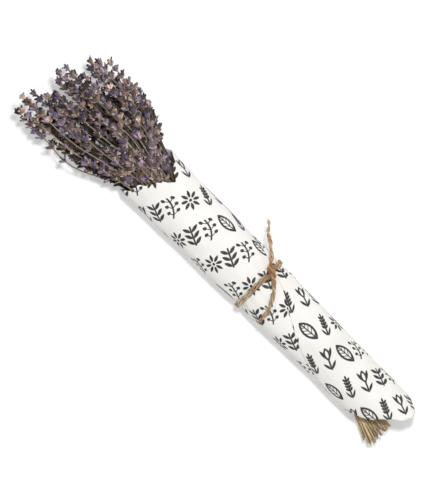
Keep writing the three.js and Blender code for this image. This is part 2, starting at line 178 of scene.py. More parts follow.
# leaves left on the stems: sprig, x, and degrees round the stem from +Y towards +Z
LEAVES = [
    (44, 158, 0), (44, 158, 180), (49, 116, -15), (9, 97, 35), (14, 131, 30),
    (16, 121, 80), (18, 128, 110), (24, 122, 150), (26, 113, 170), (33, 103, 195),
]
LEAF_TILT = math.radians(38)
LEAF_RINGS = 12
LEAF_CORNERS = 8
LEAF_AHEAD = 2  # how far ahead the stem's direction is taken
LEAF_BEND = 0.16
LEAF_FOOT = 0.12  # the share of the sine wave that a leaf's foot has behind it
LEAF_FULLNESS = 0.7
LEAF_LEAST_WIDTH = 0.04
LEAF_CURL = 0.35
LEAF_THICKNESS = 0.28

# Pods: a profile of heights and widths, then the height of the teeth and of the sunk middle
CALYX = ([(0.0, 0.42), (0.14, 0.9), (0.45, 1.06), (0.8, 1.02), (1.0, 0.74)], 0.03, 0.86)
PETAL = ([(0.0, 0.5), (0.35, 0.75), (0.72, 1.0), (1.0, 0.68)], 0.09, 0.7)
BRACT = ([(0.0, 0.35), (0.4, 1.0), (0.75, 0.55), (1.0, 0.06)], 0.0, 0.9)
POD_SIDES = 6
POD_BEND = (-0.12, 0.22)
POD_SQUASH = (0.72, 1.0)
POD_DENT = (0.84, 1.12)
POD_MIDDLE_RISE = 0.2

# Whorls and their calyces. Tilts are in degrees and turns in radians, and a pair is the least and the most
SPIKE_SEED = 100
CALYX_WHORL_Z = 3.2
WHORL_TAPER = 0.3
LOWER_WHORLS = [8.5, 20.0]
LOWER_SCATTER = 7
LOWER_SHARE = 0.62
LOWER_SIZE = 0.85
CALYX_COUNT = 7
TOP_CALYX_COUNT = 6
LOWER_CALYX_COUNT = 5
MORE_CALYCES = 3
CALYX_TURN = 0.25
CALYX_TILT = 43
INNER_TILT = 20
TILT_SCATTER = 13
TOP_TILT = 0.55
INNER_EVERY = 3
INNER_RISE = 0.8
SEAT_SCATTER = 0.9
SEAT_OUT = 0.75
CALYX_LENGTHS = (0.8, 1.02)
CALYX_WIDTHS = (0.82, 1.1)
# how deep under the topmost sprigs the calyces' painted shade starts and where it is full
CALYX_SHADE_DEPTHS = (2, 10)
SLIMMER = 0.45  # how much of a small whorl's size its calyces' width takes
NEARLY_UP = np.array([0.0, 0.31, 0.95])
SPRIG_TONE = 0.6
WHORL_TONE = 0.55
CALYX_TONE = 0.18
CALYX_LIGHT = 0.55
PETAL_SHARE = 0.3
PETAL_LENGTHS = (1.5, 2.4)
PETAL_WIDTH = 0.8
PETAL_SEAT = 0.8
PETAL_LEAN = 0.3
BRACT_LENGTHS = (2.2, 3.4)
BRACT_RADIUS = 0.95
BRACT_DROP = 0.8
BRACT_LEAN = 0.55
BRACT_TONES = (0.55, 0.85)

# How the sheet is rolled, as in the solids
LAYER_STEP = 0.95
INNER_EDGE_ANGLE = -520
STRAIGHT_ANGLE = -150
WRAP_FROM_X = -210
WRAP_LENGTH = 300
WRAP_HALF_WIDTH_FOOT = 22.9
WRAP_HALF_WIDTH_MOUTH = 27.6
WRAP_FLATTENING = 0.8
WRAP_SAG = 1.4
SEAM_X = -79
SEAM_SLOPE = 1.42
SEAM_REACH = 100
# the edge at the cut ends: angle round the roll, and x
FOOT = [
    (-180, -184), (-125, -186), (-90, -195), (-70, -203), (-55, -208.5), (-40, -211.5), (-20, -210),
    (-5, -205), (10, -197.5), (30, -191), (45, -185.5), (58, -176.5), (74, -172), (90, -170.5),
    (125, -173), (180, -184),
]
NOTCH_X = 67
NOTCH_ANGLE = -22
NOTCH_HALF_ANGLE = 7
NOTCH_SPREAD = 52
MOUTH_RISE = 29

# Waves of the sheet and of its edges: height, waves in a turn round the roll, length along it for a radian,
# and start
ALL_ALONG = math.inf
MOUTH_SCALLOPS = [(1.3, 10, ALL_ALONG, math.radians(40)), (0.45, 23, ALL_ALONG, 1), (0.3, 41, ALL_ALONG, 0)]
FOOT_SCALLOPS = [(0.5, 17, ALL_ALONG, 0), (0.3, 37, ALL_ALONG, 2)]
LONG_WAVES = [(0.22, 2, 23, -QUARTER), (0.16, -3, 11, 1 - QUARTER), (0.1, 5, 6.1, -QUARTER)]
PUCKERS = [(0.42, 13, 1 / 0.12, 0)]
MOUTH_WAVES = [(0.5, 5, ALL_ALONG, 0.6), (0.35, 9, 14, 2)]
FOOT_WAVES = [(0.4, 4, ALL_ALONG, 1), (0.25, 11, 9, 0)]
FREE_EDGE_WAVES = [(0.1, 0, 15, -QUARTER), (0.04, 0, 6, -QUARTER)]
PUCKER_SPREAD = 17
PUCKER_HOLD = 0.7
PUCKER_HOLD_SPREAD = 4
MOUTH_WAVES_X = (62, 92)
FOOT_WAVES_X = (-172, -205)
FREE_EDGE_PRESS = 0.56
FREE_EDGE_TURN = 40
SECOND_LAYER_TURNS = (345, 365)
SHEET_ROWS = 150
STRAIGHT_COLUMNS = 150
SLANTED_COLUMNS = 62
SETTLE_ROUNDS = 30
SHEET_RADIUS = 23.5  # turns an angle round the roll into a length across the sheet
SHEET_UNIT = 100  # what 1 is on the sheet's UV map

# How the twine runs, as in the solids
TWINE_X = -43
TWINE_RADIUS = 1.1
TWINE_CLEARANCE = 0.45
STRAND_OFFSET = 1.2
CINCH = 1.3
CINCH_SPREAD = 11
TWINE_LIFT = 3.0
KNOT_ANGLE = -32
ROUND_STEP = 12
KNOT_HALF_GAP = 18
UPPER_TAIL = [(-9.5, -43.5, 33), (-18.5, -35.5, 35.5), (-27, -29.5, 37), (-35, -23, 38.2)]
INTO_TURN = [(3.5, -4, 3.4), (-0.5, 1, 3.2), (-2.2, 8, 1.8)]
OUT_OF_TURN = [(2.2, -8, 1.2), (1.8, 2, 1.9), (-3.5, 6, 2.6)]
LOWER_TAIL = [
    (-9, 14, 2.2), (-13, 23, 1.5), (-17, 36, 1.2), (-20.5, 51, 1.2), (-22, 68, 1.2), (-21.5, 87, 1.2),
]
KNOT_ARCH = [(-5.2, 7, 0), (-4.6, 5, 2.6), (-0.6, 1, 4.9), (3.4, -3, 3.2), (4.4, -5, 0.2)]
ARCH_APART = 5
TAIL_PITCH = 27  # length in which a tail's two strands wind once round each other
TAIL_SPACING = 2
TAIL_OFFSET = 0.96
UPPER_TAIL_START = 0.9
LOWER_TAIL_START = 0.4
TAIL_TRIM = {1: 1, -1: 5}  # how many points each strand's tails end before the line's own end
ROLL_MIDDLE_Z = 18.0
CURVE_STEPS = 24

# How the jute looks. Offset, radius and roots are shares of the strand's radius
TWINE_SEED = 11
PLY_SIDES = 9
PLY_SPACING = 0.55
PLY_OFFSET = 0.46
PLY_RADIUS = 0.64
PLY_LOOSE = 0.55
PLY_LOOSE_LENGTH = 7
PLY_SWELL = 0.06
PLY_SWELL_LENGTH = 3.7
PLY_NICKS = 0.03
PLY_NICK_LENGTH = 0.9
PLY_ROUGH = (0.93, 1.09)
PLY_PALE = 0.5  # how much paler one ply is, and how much darker the other
WORN_END = 0.7
WORN_END_SPREAD = 12
# the roll's flanks, between these distances from its middle, get a painted sheen
FLANK_SHEEN = 0.5
FLANKS_Y = (17, 24)
WEAR_AND_SHEEN_LESS = 0.15
RUSTY_KNOT = [(-1.5, 4, 2)]
RUSTY_KNOT_SPREAD = 7.0
RUSTY_END = 0.9
RUSTY_END_SPREAD = 8.0
STRAND_FIBRES = 220
STRAND_TUFT = 16
ARCH_FIBRES = 14
ARCH_TUFT = 3
HAIR_RINGS = 6
HAIR_LOWEST_Z = 0.3
TUFT_THICKNESS = 0.11
TUFT_TAPER = 0.6
TUFT_LENGTHS = (1.2, 3.6)
TUFT_SPREAD = 0.4
TUFT_BEND = 0.25
TUFT_ROOT = 0.5
TUFT_DEPTH = 1.5
TUFT_DRAWN = 1.2
TUFT_PALE = 0.9
FIBRE_THICKNESS = 0.075
FIBRE_TAPER = 0.7
FIBRE_LENGTHS = (1.0, 3.4)
FIBRE_RISE = 0.45
FIBRE_CURL = 0.5
FIBRE_ROOT = 0.75
FIBRE_PALE = 0.6

# The print: lengths in millimetres on the sheet
ROW_SLANT = math.radians(24.3)
ROW_PITCH = 28.0
ROW_SHIFT = 7.3
MARK_PITCH = 14.8
MARK_SCALE = 1.5
MARK_BLUR = 0.12
NEXT_MARK = 0.381966
NEXT_ROW_MARK = 0.271
FAR_OFF = 1000.0  # keeps the counts of rows and marks above 0

# The stage
FLOOR_HALF_SIZE = 3
FLOOR_GLOW = 0.38
LAMP_TOWARD = np.array([0.08, -0.2, 1.0])
LAMP_DISTANCE = 1.6
LAMP_SIZE = 0.2
SENSOR_WIDTH = 36
PICTURE_WIDTH = 0.4092
PICTURE_MIDDLE = (0.0052, 0.0034, 0.020)
PICTURE_RIGHT = (-0.7056, -0.7087)


def cubic(t, start, end, start_slope, end_slope):
    """The cubic from one value to another with a slope at each, at t from 0 to 1."""
    return (
        (2 * t**3 - 3 * t**2 + 1) * start
        + (t**3 - 2 * t**2 + t) * start_slope
        + (3 * t**2 - 2 * t**3) * end
        + (t**3 - t**2) * end_slope
    )


def across(table, x):
    """A smooth curve through the rows of a table, whose first column is x: a cubic between two rows, with
    the slope at each row taken between its neighbours."""
    rows = np.asarray(table, float)
    knots, values = rows[:, 0], rows[:, 1:]
    row = np.arange(len(knots))
    before, after = np.maximum(row - 1, 0), np.minimum(row + 1, len(knots) - 1)
    slopes = (values[after] - values[before]) / (knots[after] - knots[before])[:, None]
    x = np.asarray(x, float)
    k = np.clip(np.searchsorted(knots, x) - 1, 0, len(knots) - 2)
    h = (knots[k + 1] - knots[k])[..., None]
    return cubic((x - knots[k])[..., None] / h, values[k], values[k + 1], h * slopes[k], h * slopes[k + 1])


def bump(v, middle, spread):
    """One smooth hill, 1 high at the middle."""
    return np.exp(-(((v - middle) / spread) ** 2))


def smooth(low, high, v):
    """From 0 at low to 1 at high, level at both ends."""
    t = np.clip((v - low) / (high - low), 0, 1)
    return t * t * (3 - 2 * t)


def draw(n, k):
    """The solids' seeded draw from 0 to 1, for sprig n and purpose k."""
    s = np.sin(np.asarray(n) * 12.9898 + k * 78.233 + SEED * 37.719) * 43758.5453
    return s - np.floor(s)


def unit(v):
    """Vectors made 1 long."""
    return v / np.linalg.norm(v, axis=-1, keepdims=True)


def ring(corners):
    """The corners of a regular polygon of radius 1."""
    turn = np.arange(corners) * 2 * math.pi / corners
    return np.stack([np.cos(turn), np.sin(turn)], -1)


def counted(counts):
    """0, 1, 2 and so on up to each of the counts, one run after the other."""
    return np.arange(counts.sum()) - np.repeat(np.cumsum(counts) - counts, counts)


def to_plane(lattice):
    """Places on a triangular lattice, scaled to a disc of radius 1 and turned a little."""
    i, j = np.moveaxis(np.asarray(lattice, float), -1, 0)
    x, y = (i + j / 2) / LATTICE_RADIUS, j * math.sqrt(0.75) / LATTICE_RADIUS
    c, s = math.cos(LATTICE_TURN), math.sin(LATTICE_TURN)
    return np.stack([x * c - y * s, x * s + y * c], -1)


def crown(place):
    """The x of the highest tips at a place across the bunch: its outline from side to side, less a share
    of the height squared."""
    return across(CROWN, place[:, 0])[:, 0] - CROWN_DOME * place[:, 1] ** 2


def spike_length(whorls):
    """From a spike's seat to its tip."""
    return FIRST_WHORL_Z + WHORL_PITCH * (whorls - 1) + WHORL_HEIGHT + APEX_LENGTH


def first_flower(place):
    """The lowest x for a whorl at a place across the bunch: at the paper's mouth, and farther out in its
    middle."""
    angle = np.degrees(np.arctan2(*(place * MOUTH_HALF_SIZES).T))
    return mouth_x(angle) + MIDDLE_DELAY * smooth(MIDDLE_FROM, MIDDLE_TO, np.linalg.norm(place, axis=1))


class Bunch:
    """The sprigs as arrays, one entry each: first those of the solids, then one beside each of them, then
    those that are laid over them. A sprig's place is its clump's place in a disc of radius 1, plus its
    own in the clump."""

    def __init__(self):
        number = np.arange(1, SPRIG_COUNT + 1)
        clump = np.repeat(np.arange(len(CLUMPS)), len(MEMBERS))
        lattice = CLUMPS[clump] + np.tile(MEMBERS, (len(CLUMPS), 1))
        level = (lattice[:, 0] - lattice[:, 1]) % LEVELS
        whorls = WHORLS_BY_LEVEL[level]
        tip = crown(to_plane(lattice)) - LEVEL_STEP * level + TIP_SCATTER * (draw(number, 1) - 0.5)
        tip = np.maximum(tip, FIRST_FLOWER_X + spike_length(whorls))
        shift = np.stack([SHIFT_WIDE * (draw(number, 3) - 0.5), SHIFT_HIGH * (draw(number, 4) - 0.5)], -1)

        beside = number + SPRIG_COUNT
        place = to_plane(lattice + 1 / 3)
        place *= np.minimum(1, BESIDE_REACH / np.linalg.norm(place, axis=1))[:, None]
        place[:, 0] -= CROWDED * np.maximum(place[:, 0] - CROWDED_FROM, 0)
        beside_whorls = BESIDE_WHORLS + (BESIDE_WHORLS_MORE * draw(beside, 6)).astype(int)
        beside_tip = crown(place) - BESIDE_TIP_DROP - BESIDE_TIP_RANGE * draw(beside, 1)
        beside_tip = np.maximum(beside_tip, FIRST_FLOWER_X + spike_length(beside_whorls))
        for middle, half_width, above, purpose, share in LOW_FLOWERS:
            there = (np.abs(place[:, 0] - middle) < half_width) & (place[:, 1] > above)
            beside_tip = np.where(there & (draw(beside, purpose) < share), 0, beside_tip)
        first = first_flower(place) + MOUTH_GAP + MOUTH_GAP_RANGE * draw(beside, 17) ** 2
        beside_tip = np.maximum(beside_tip, first + spike_length(beside_whorls))
        beside_shift = np.stack(
            [
                BESIDE_SHIFT_WIDE * (draw(beside, 3) - 0.5) + BESIDE_SHIFT_ASIDE,
                BESIDE_SHIFT_HIGH * (draw(beside, 4) - 0.5),
            ],
            -1,
        )

        amounts = np.array([row[0] for row in LAID_OVER])
        rows = np.repeat(np.array(LAID_OVER, float), amounts, axis=0)
        amount, low_turn, high_turn, radius, laid_whorls, low_tip, high_tip, aside, up = rows.T
        laid = 2 * SPRIG_COUNT + 1 + np.arange(len(rows))
        turn = np.radians(low_turn + (high_turn - low_turn) * (counted(amounts) + draw(laid, 20)) / amount)
        radius = (radius + LAID_RANGE * draw(laid, 21))[:, None]
        laid_place = radius * np.stack([np.sin(turn), np.cos(turn)], -1)
        laid_clump = np.linalg.norm(laid_place[:, None] - to_plane(CLUMPS), axis=2).argmin(axis=1)
        laid_tip = low_tip + (high_tip - low_tip) * draw(laid, 1) ** LAID_TIP_POWER

        kinds = (number, beside, laid)
        self.number = np.concatenate(kinds)
        scatter, thin, more, self.sway = np.repeat(SPRIG_KINDS, [len(kind) for kind in kinds], axis=0).T
        self.clump = np.concatenate([clump, clump, laid_clump])
        self.clump_place = np.concatenate([to_plane(CLUMPS[clump]), place, laid_place])
        members = np.tile(to_plane(MEMBERS), (len(CLUMPS), 1))
        self.member_place = np.concatenate([members, 0 * place, 0 * laid_place])
        self.whorls = np.concatenate([whorls, beside_whorls, laid_whorls.astype(int)])
        self.tip = np.concatenate([tip, beside_tip, laid_tip])
        self.base = self.tip - spike_length(self.whorls)
        self.cut = CUT_X + scatter * (2 * draw(self.number, 2) - 1)
        self.shift = np.concatenate([shift, beside_shift, np.stack([aside, up], -1)])
        self.thickness = thin + more * draw(self.number, 7)

        # how high the topmost sprig stands over each square of the floor, for the painted shade under it
        x = COVER_FROM_X + (self.tip[:, None] - COVER_FROM_X) * np.linspace(0, 1, COVER_STEPS)
        line = self.line_at(np.arange(len(self.tip)), x)
        self.cover = np.zeros((COVER_CELLS, COVER_CELLS))
        for across_line in (-COVER_HALF_WIDTH, 0, COVER_HALF_WIDTH):
            np.maximum.at(self.cover, self.cover_cell(line + (0, across_line, 0)), line[..., 2])

    def cover_cell(self, points):
        """The square of the floor that each point stands over."""
        cell = (points[..., :2] - (COVER_FROM_X, COVER_FROM_Y)) / COVER_CELL
        return tuple(np.clip(np.moveaxis(cell, -1, 0), 0, COVER_CELLS - 1).astype(int))

    def painted_shade_at(self, points, near, far):
        """How much painted shade points get for lying deep under the topmost sprigs: 0 down to the first
        depth, 1 beyond the other.
        """
        under = smooth(near, far, self.cover[self.cover_cell(points)] - points[..., 2])
        return np.where(points[..., 0] > COVER_FROM_X, under, 0)

    def field_at(self, which, x):
        """The middle of the field at x plus its half sizes times the sprig's place across it. The members
        of a clump are pinched together at the twine."""
        y, z, half_width, half_height = np.moveaxis(across(FIELD, x), -1, 0)
        pinch = 1 - CLUMP_PINCH * bump(x, TWINE_X, PINCH_SPREAD)
        spread = smooth(SHIFT_FROM_X, SHIFT_TO_X, x)
        bend = np.where(self.number[which] == STRAY_SPRIG, STRAY_BEND, 0)
        clump, member, shift = self.clump_place[which], self.member_place[which], self.shift[which]
        if x.ndim == 2:
            clump, member, shift, bend = (v[:, None] for v in (clump, member, shift, bend))
        bend = bend * bump(x, STRAY_BEND_X, STRAY_BEND_SPREAD)
        y = y + half_width * (clump[..., 0] + pinch * member[..., 0]) + spread * shift[..., 0] + bend
        z = z + half_height * (clump[..., 1] + pinch * member[..., 1]) + spread * shift[..., 1]
        return np.stack([x, y, z], -1)

    def heading(self, which):
        """The direction of each sprig's flower spike."""
        base = self.base[which]
        return unit(self.field_at(which, base + HEADING_LENGTH) - self.field_at(which, base))

    def line_at(self, which, x):
        """A sprig's centre line at x: the field below the spike and straight on above its seat, with a
        slow sway of its own outside the paper and a splay at its cut end."""
        base = self.base[which][:, None]
        low = self.field_at(which, np.minimum(x, base))
        line = low + np.maximum(x - base, 0)[..., None] * self.heading(which)[:, None, :]
        number = self.number[which][:, None]
        sway = self.sway[which][:, None] * smooth(SWAY_FROM_X, SWAY_TO_X, x)
        splay = smooth(SPLAY_FROM_X, SPLAY_TO_X, x) ** 2
        for k in (0, 1):
            length = SWAY_LENGTH[k][0] + SWAY_LENGTH[k][1] * draw(number, 8 + 2 * k)
            line[..., 1 + k] += splay * SPLAY[k] * (draw(number, 18 + k) - 0.5)
            line[..., 1 + k] += sway * np.sin(x / length + SWAY_START * draw(number, 9 + 2 * k))
        return line


def grid_faces(rows, columns, closed=True):
    """Quads of a grid of rows by columns, row after row; closed joins the last column to the first."""
    r = np.arange(rows - 1)[:, None]
    c = np.arange(columns if closed else columns - 1)[None, :]
    n = (c + 1) % columns
    quads = np.stack([r * columns + c, r * columns + n, (r + 1) * columns + n, (r + 1) * columns + c], -1)
    return quads.reshape(-1, 4)


def copies(faces, count, step):
    """The same faces for a number of copies whose points follow each other."""
    return (faces[None] + step * np.arange(count)[:, None, None]).reshape(-1, faces.shape[1])


def tube_faces(rings, corners, count):
    """Faces of a number of tubes, with a cap at both ends."""
    step = rings * corners
    caps = np.arange(corners)[None, ::-1], np.arange(step - corners, step)[None]
    return [copies(f, count, step) for f in (grid_faces(rings, corners), *caps)]


def tubes(paths, profile, scale):
    """A closed profile carried along each path. Its first axis lies level across the path and its second
    one stands up; scale is the profile's size at each point. Both ends are closed."""
    along = unit(np.gradient(paths, axis=1))
    side = unit(np.cross(np.array([0.0, 0.0, 1.0]), along))
    rise = np.cross(along, side)
    a, b = profile[:, 0], profile[:, 1]
    points = paths[:, :, None, :] + scale[..., None, None] * (
        a[:, None] * side[:, :, None, :] + b[:, None] * rise[:, :, None, :]
    )
    return points.reshape(-1, 3), tube_faces(paths.shape[1], len(profile), len(paths))


def new_piece(name, points, faces, finish, slot, replaced, **attributes):
    """Makes one piece of the object from points in millimetres and arrays of faces with equal corners."""
    mesh = bpy.data.meshes.new(name)
    corners = np.concatenate([f.ravel() for f in faces]).astype(np.int32)
    sizes = np.concatenate([np.full(len(f), f.shape[1]) for f in faces])
    starts = np.concatenate([[0], np.cumsum(sizes)[:-1]]).astype(np.int32)
    mesh.vertices.add(len(points))
    mesh.vertices.foreach_set("co", (np.asarray(points) * MM).ravel())
    mesh.loops.add(len(corners))
    mesh.loops.foreach_set("vertex_index", corners)
    mesh.polygons.add(len(sizes))
    mesh.polygons.foreach_set("loop_start", starts)
    mesh.polygons.foreach_set("use_smooth", np.full(len(sizes), True))
    mesh.update(calc_edges=True)
    for key, values in attributes.items():
        layer = mesh.attributes.new(key, "FLOAT", "POINT")
        layer.data.foreach_set("value", np.asarray(values, np.float32).ravel())
    if mesh.validate():
        raise RuntimeError(name + " has faces that Blender had to mend")
    mesh.materials.append(finish)
    piece = bpy.data.objects.new(name, mesh)
    bpy.context.scene.collection.objects.link(piece)
    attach(piece, "root")
    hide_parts(*replaced)
    return piece


def joined(parts):
    """Several (points, faces, attributes) as one."""
    points, faces, attributes, first = [], [], {}, 0
    for part_points, part_faces, part_attributes in parts:
        points.append(part_points)
        faces += [f + first for f in part_faces]
        first += len(part_points)
        for key, values in part_attributes.items():
            attributes.setdefault(key, []).append(np.broadcast_to(values, len(part_points)))
    return np.concatenate(points), faces, {key: np.concatenate(v) for key, v in attributes.items()}


# Stems and leaves


def stem_parts(bunch, which, half_diagonal):
    """Square stems with grooved sides, thinner towards the tip, from the cut end to the top of the
    spike."""
    number = bunch.number[which]
    groove = np.where(np.arange(STEM_CORNERS) % 2, STEM_GROOVE, 1.0)
    cut = bunch.cut[which][:, None]
    top = bunch.base[which] + SPIKE_SEAT_GAP + spike_length(bunch.whorls[which]) - STEM_END_GAP
    x = cut + (top[:, None] - cut) * np.linspace(0, 1, STEM_RINGS)
    scale = half_diagonal * bunch.thickness[which][:, None]
    scale = scale * (1 - STEM_TAPER * smooth(STEM_TAPER_FROM_X, STEM_TAPER_TO_X, x))
    start = STEM_RIPPLE_START * draw(number, 12)[:, None]
    scale = scale * (1 + STEM_RIPPLE * np.sin(x / STEM_RIPPLE_LENGTH + start))
    line = bunch.line_at(which, x)
    points, faces = tubes(line, groove[:, None] * ring(STEM_CORNERS), scale)
    shade = np.where(number == STRAY_SPRIG, STRAY_SHADE, draw(number, 13))
    # painted shade: a stem is darker where it lies deep under the topmost sprigs
    deep = np.repeat(bunch.painted_shade_at(line, *STEM_SHADE_DEPTHS), STEM_CORNERS)
    return points, faces, {"shade": np.repeat(shade, STEM_RINGS * STEM_CORNERS), "leaf": 0.0, "deep": deep}


def leaf_parts(bunch, rows, length, half_width):
    """Narrow dried leaves: a lens-shaped section with raised edges, carried along a line that leaves the
    stem at a slant and bends back. The width follows half a sine wave, up to a point at the tip."""
    number, x, turn = np.array(rows, float).T
    which = (number - 1).astype(int)
    turn = np.radians(turn)
    root = bunch.line_at(which, x[:, None])[:, 0]
    along = unit(bunch.line_at(which, x[:, None] + LEAF_AHEAD)[:, 0] - root)
    out = np.stack([0 * turn, np.cos(turn), np.sin(turn)], -1)
    out = unit(out - (out * along).sum(-1, keepdims=True) * along)
    reach = math.cos(LEAF_TILT) * along + math.sin(LEAF_TILT) * out
    side = unit(np.cross(reach, out))
    t = np.linspace(0, 1, LEAF_RINGS)
    path = root[:, None] + length * (
        t[:, None] * reach[:, None] + LEAF_BEND * (t**2)[:, None] * (out - along)[:, None]
    )
    width = np.sin(math.pi * np.clip(LEAF_FOOT + (1 - LEAF_FOOT) * t, 0, 1)) ** LEAF_FULLNESS
    width = half_width * np.maximum(width, LEAF_LEAST_WIDTH)[:, None]
    level, upright = ring(LEAF_CORNERS).T
    raised = LEAF_THICKNESS * np.minimum(width, 1) * upright + LEAF_CURL * width * np.abs(level)
    points = (
        path[:, :, None]
        + (width * level)[..., None] * side[:, None, None]
        + raised[..., None] * unit(np.cross(reach, side))[:, None, None]
    )
    shade = np.repeat(draw(number * 3 + x, 14), LEAF_RINGS * LEAF_CORNERS)
    faces = tube_faces(LEAF_RINGS, LEAF_CORNERS, len(rows))
    # leaves get no painted shade
    return points.reshape(-1, 3), faces, {"shade": shade, "leaf": 1.0, "deep": 0.0}


# Flower spikes


def pods(seat, heading, out, length, radius, rng, shape, **values):
    """Pods of one shape: rings of radius times the profile's width, at its height along a line that
    leaves the seat along the heading and bends outwards, with teeth at the mouth and a cone down to its
    sunk middle."""
    profile, teeth, sunk = shape
    z, wide = np.array(profile).T
    count, rings = len(seat), len(z)
    # the small step keeps the two directions apart
    level = unit(np.cross(heading, out + 0.01))
    upright = np.cross(level, heading)
    spin = rng.uniform(0, math.pi, count)[:, None, None]
    bend = rng.uniform(*POD_BEND, count)[:, None]
    squash = rng.uniform(*POD_SQUASH, count)[:, None, None]
    dent = rng.uniform(*POD_DENT, (count, rings, POD_SIDES))
    corner = np.arange(POD_SIDES)
    jag = teeth * np.where(corner % 2, 1.0, -1.0) * (np.arange(rings) == rings - 1)[:, None]
    angle = corner * 2 * math.pi / POD_SIDES + spin
    reach = radius[:, None, None] * wide[:, None] * dent
    up = length[:, None, None] * (z[:, None] + jag)
    away = reach * squash * np.sin(angle) + (bend * length[:, None] * z**2)[..., None]
    points = (
        seat[:, None, None]
        + up[..., None] * heading[:, None, None]
        + (reach * np.cos(angle))[..., None] * level[:, None, None]
        + away[..., None] * upright[:, None, None]
    ).reshape(count, rings * POD_SIDES, 3)
    middle = seat + (length * sunk)[:, None] * heading + bend * length[:, None] * sunk**2 * upright
    points = np.concatenate([points, middle[:, None]], 1)
    step = rings * POD_SIDES + 1
    mouth = (rings - 1) * POD_SIDES + corner
    cone = np.stack([mouth, np.roll(mouth, -1), np.full(POD_SIDES, step - 1)], -1)
    faces = [copies(f, count, step) for f in (grid_faces(rings, POD_SIDES), corner[None, ::-1], cone)]
    rise = np.tile([*np.repeat(z, POD_SIDES), POD_MIDDLE_RISE], count)
    attributes = {"rise": rise, "light": np.repeat(rng.random(count), step)}
    attributes.update((key, np.repeat(np.broadcast_to(v, count), step)) for key, v in values.items())
    return points.reshape(-1, 3), faces, attributes


def spike_parts(bunch, which, calyx_length, calyx_radius, rng):
    """Whorls of calyces round the top of each stem, each whorl turned by an eighth against the one below,
    with withered petals in some mouths and papery bracts between the calyces. Most sprigs carry one or
    two small whorls more, lower down, as far as the paper lets them be seen."""
    whorls = bunch.whorls[which]
    owner = np.repeat(which, whorls)
    step = counted(whorls)
    total = np.repeat(whorls, whorls)
    x = bunch.base[owner] + SPIKE_SEAT_GAP + CALYX_WHORL_Z + WHORL_PITCH * step
    lower = np.tile(which, len(LOWER_WHORLS))
    lower_x = bunch.base[lower] - np.repeat(LOWER_WHORLS, len(which))
    lower_x = lower_x - rng.uniform(0, LOWER_SCATTER, len(lower))
    first = first_flower(bunch.clump_place[lower] + bunch.member_place[lower])
    seen = (rng.random(len(lower)) < LOWER_SHARE) & (lower_x > first)
    lower, lower_x = lower[seen], lower_x[seen]
    owner = np.concatenate([owner, lower])
    x = np.concatenate([x, lower_x])
    size = np.concatenate([1 - WHORL_TAPER * step / total, np.full(len(lower), LOWER_SIZE)])
    top = np.concatenate([step == total - 1, np.zeros(len(lower), bool)])
    step = np.concatenate([step, np.full(len(lower), -1)])

    count = np.where(step < 0, LOWER_CALYX_COUNT, np.where(top, TOP_CALYX_COUNT, CALYX_COUNT))
    count = count + rng.integers(0, MORE_CALYCES, len(owner))
    w = np.repeat(np.arange(len(owner)), count)
    k = counted(count)
    inner = k % INNER_EVERY == INNER_EVERY - 1
    azimuth = step[w] * math.pi / 4 + 2 * math.pi * k / count[w]
    azimuth = azimuth + rng.uniform(-CALYX_TURN, CALYX_TURN, len(w))
    tilt = np.where(inner, INNER_TILT, CALYX_TILT) + rng.uniform(-TILT_SCATTER, TILT_SCATTER, len(w))
    tilt = np.radians(tilt) * np.where(top[w], TOP_TILT, 1.0)
    axis = bunch.heading(owner)[w]
    level = unit(np.cross(axis, NEARLY_UP))
    upright = np.cross(axis, level)
    out = np.cos(azimuth)[:, None] * level + np.sin(azimuth)[:, None] * upright
    place = x[w] + rng.uniform(-SEAT_SCATTER, SEAT_SCATTER, len(w)) + np.where(inner, INNER_RISE, 0)
    centre = bunch.line_at(owner[w], place[:, None])[:, 0]
    heading = np.cos(tilt)[:, None] * axis + np.sin(tilt)[:, None] * out
    length = calyx_length * size[w] * rng.uniform(*CALYX_LENGTHS, len(w))
    radius = calyx_radius * (1 - SLIMMER + SLIMMER * size[w]) * rng.uniform(*CALYX_WIDTHS, len(w))
    seat = centre + (SEAT_OUT * size[w])[:, None] * out
    tone = SPRIG_TONE * draw(bunch.number[owner[w]], 15) + WHORL_TONE * rng.random(len(owner))[w]
    tone = (tone + CALYX_TONE * rng.random(len(w))) % 1.0
    # painted shade: a calyx is darker where it lies deep under the topmost sprigs, and its petals and
    # bracts take the same
    deep = bunch.painted_shade_at(seat + 0.5 * length[:, None] * heading, *CALYX_SHADE_DEPTHS)
    calyces = pods(seat, heading, out, length, radius, rng, CALYX, shade=tone, petal=0.0, deep=deep)
    light = CALYX_LIGHT * rng.random(len(w)) + (1 - CALYX_LIGHT) * rng.random(len(owner))[w]
    calyces[2]["light"] = np.repeat(light, len(calyces[0]) // len(w))

    on = rng.random(len(w)) < PETAL_SHARE
    mouth = seat[on] + PETAL_SEAT * length[on, None] * heading[on]
    petals = pods(
        mouth, unit(heading[on] + PETAL_LEAN * out[on]), out[on], rng.uniform(*PETAL_LENGTHS, on.sum()),
        PETAL_WIDTH * radius[on], rng, PETAL, shade=rng.random(on.sum()), petal=1.0, deep=deep[on],
    )

    on = k % INNER_EVERY == 0
    below = seat[on] - BRACT_DROP * axis[on]
    bracts = pods(
        below, unit(BRACT_LEAN * axis[on] + out[on]), out[on], rng.uniform(*BRACT_LENGTHS, on.sum()),
        np.full(on.sum(), BRACT_RADIUS), rng, BRACT,
        shade=rng.uniform(*BRACT_TONES, on.sum()), petal=0.0, deep=deep[on], rise=0.0,
    )
    return joined([calyces, petals, bracts])


# The paper


def ripples(rows, angle, x=0.0):
    """Waves round the roll and along it: height times the cosine of the turns times the angle, plus x by
    the length, plus the start."""
    a = np.radians(angle)
    return sum(height * np.cos(turns * a + x / length + start) for height, turns, length, start in rows)


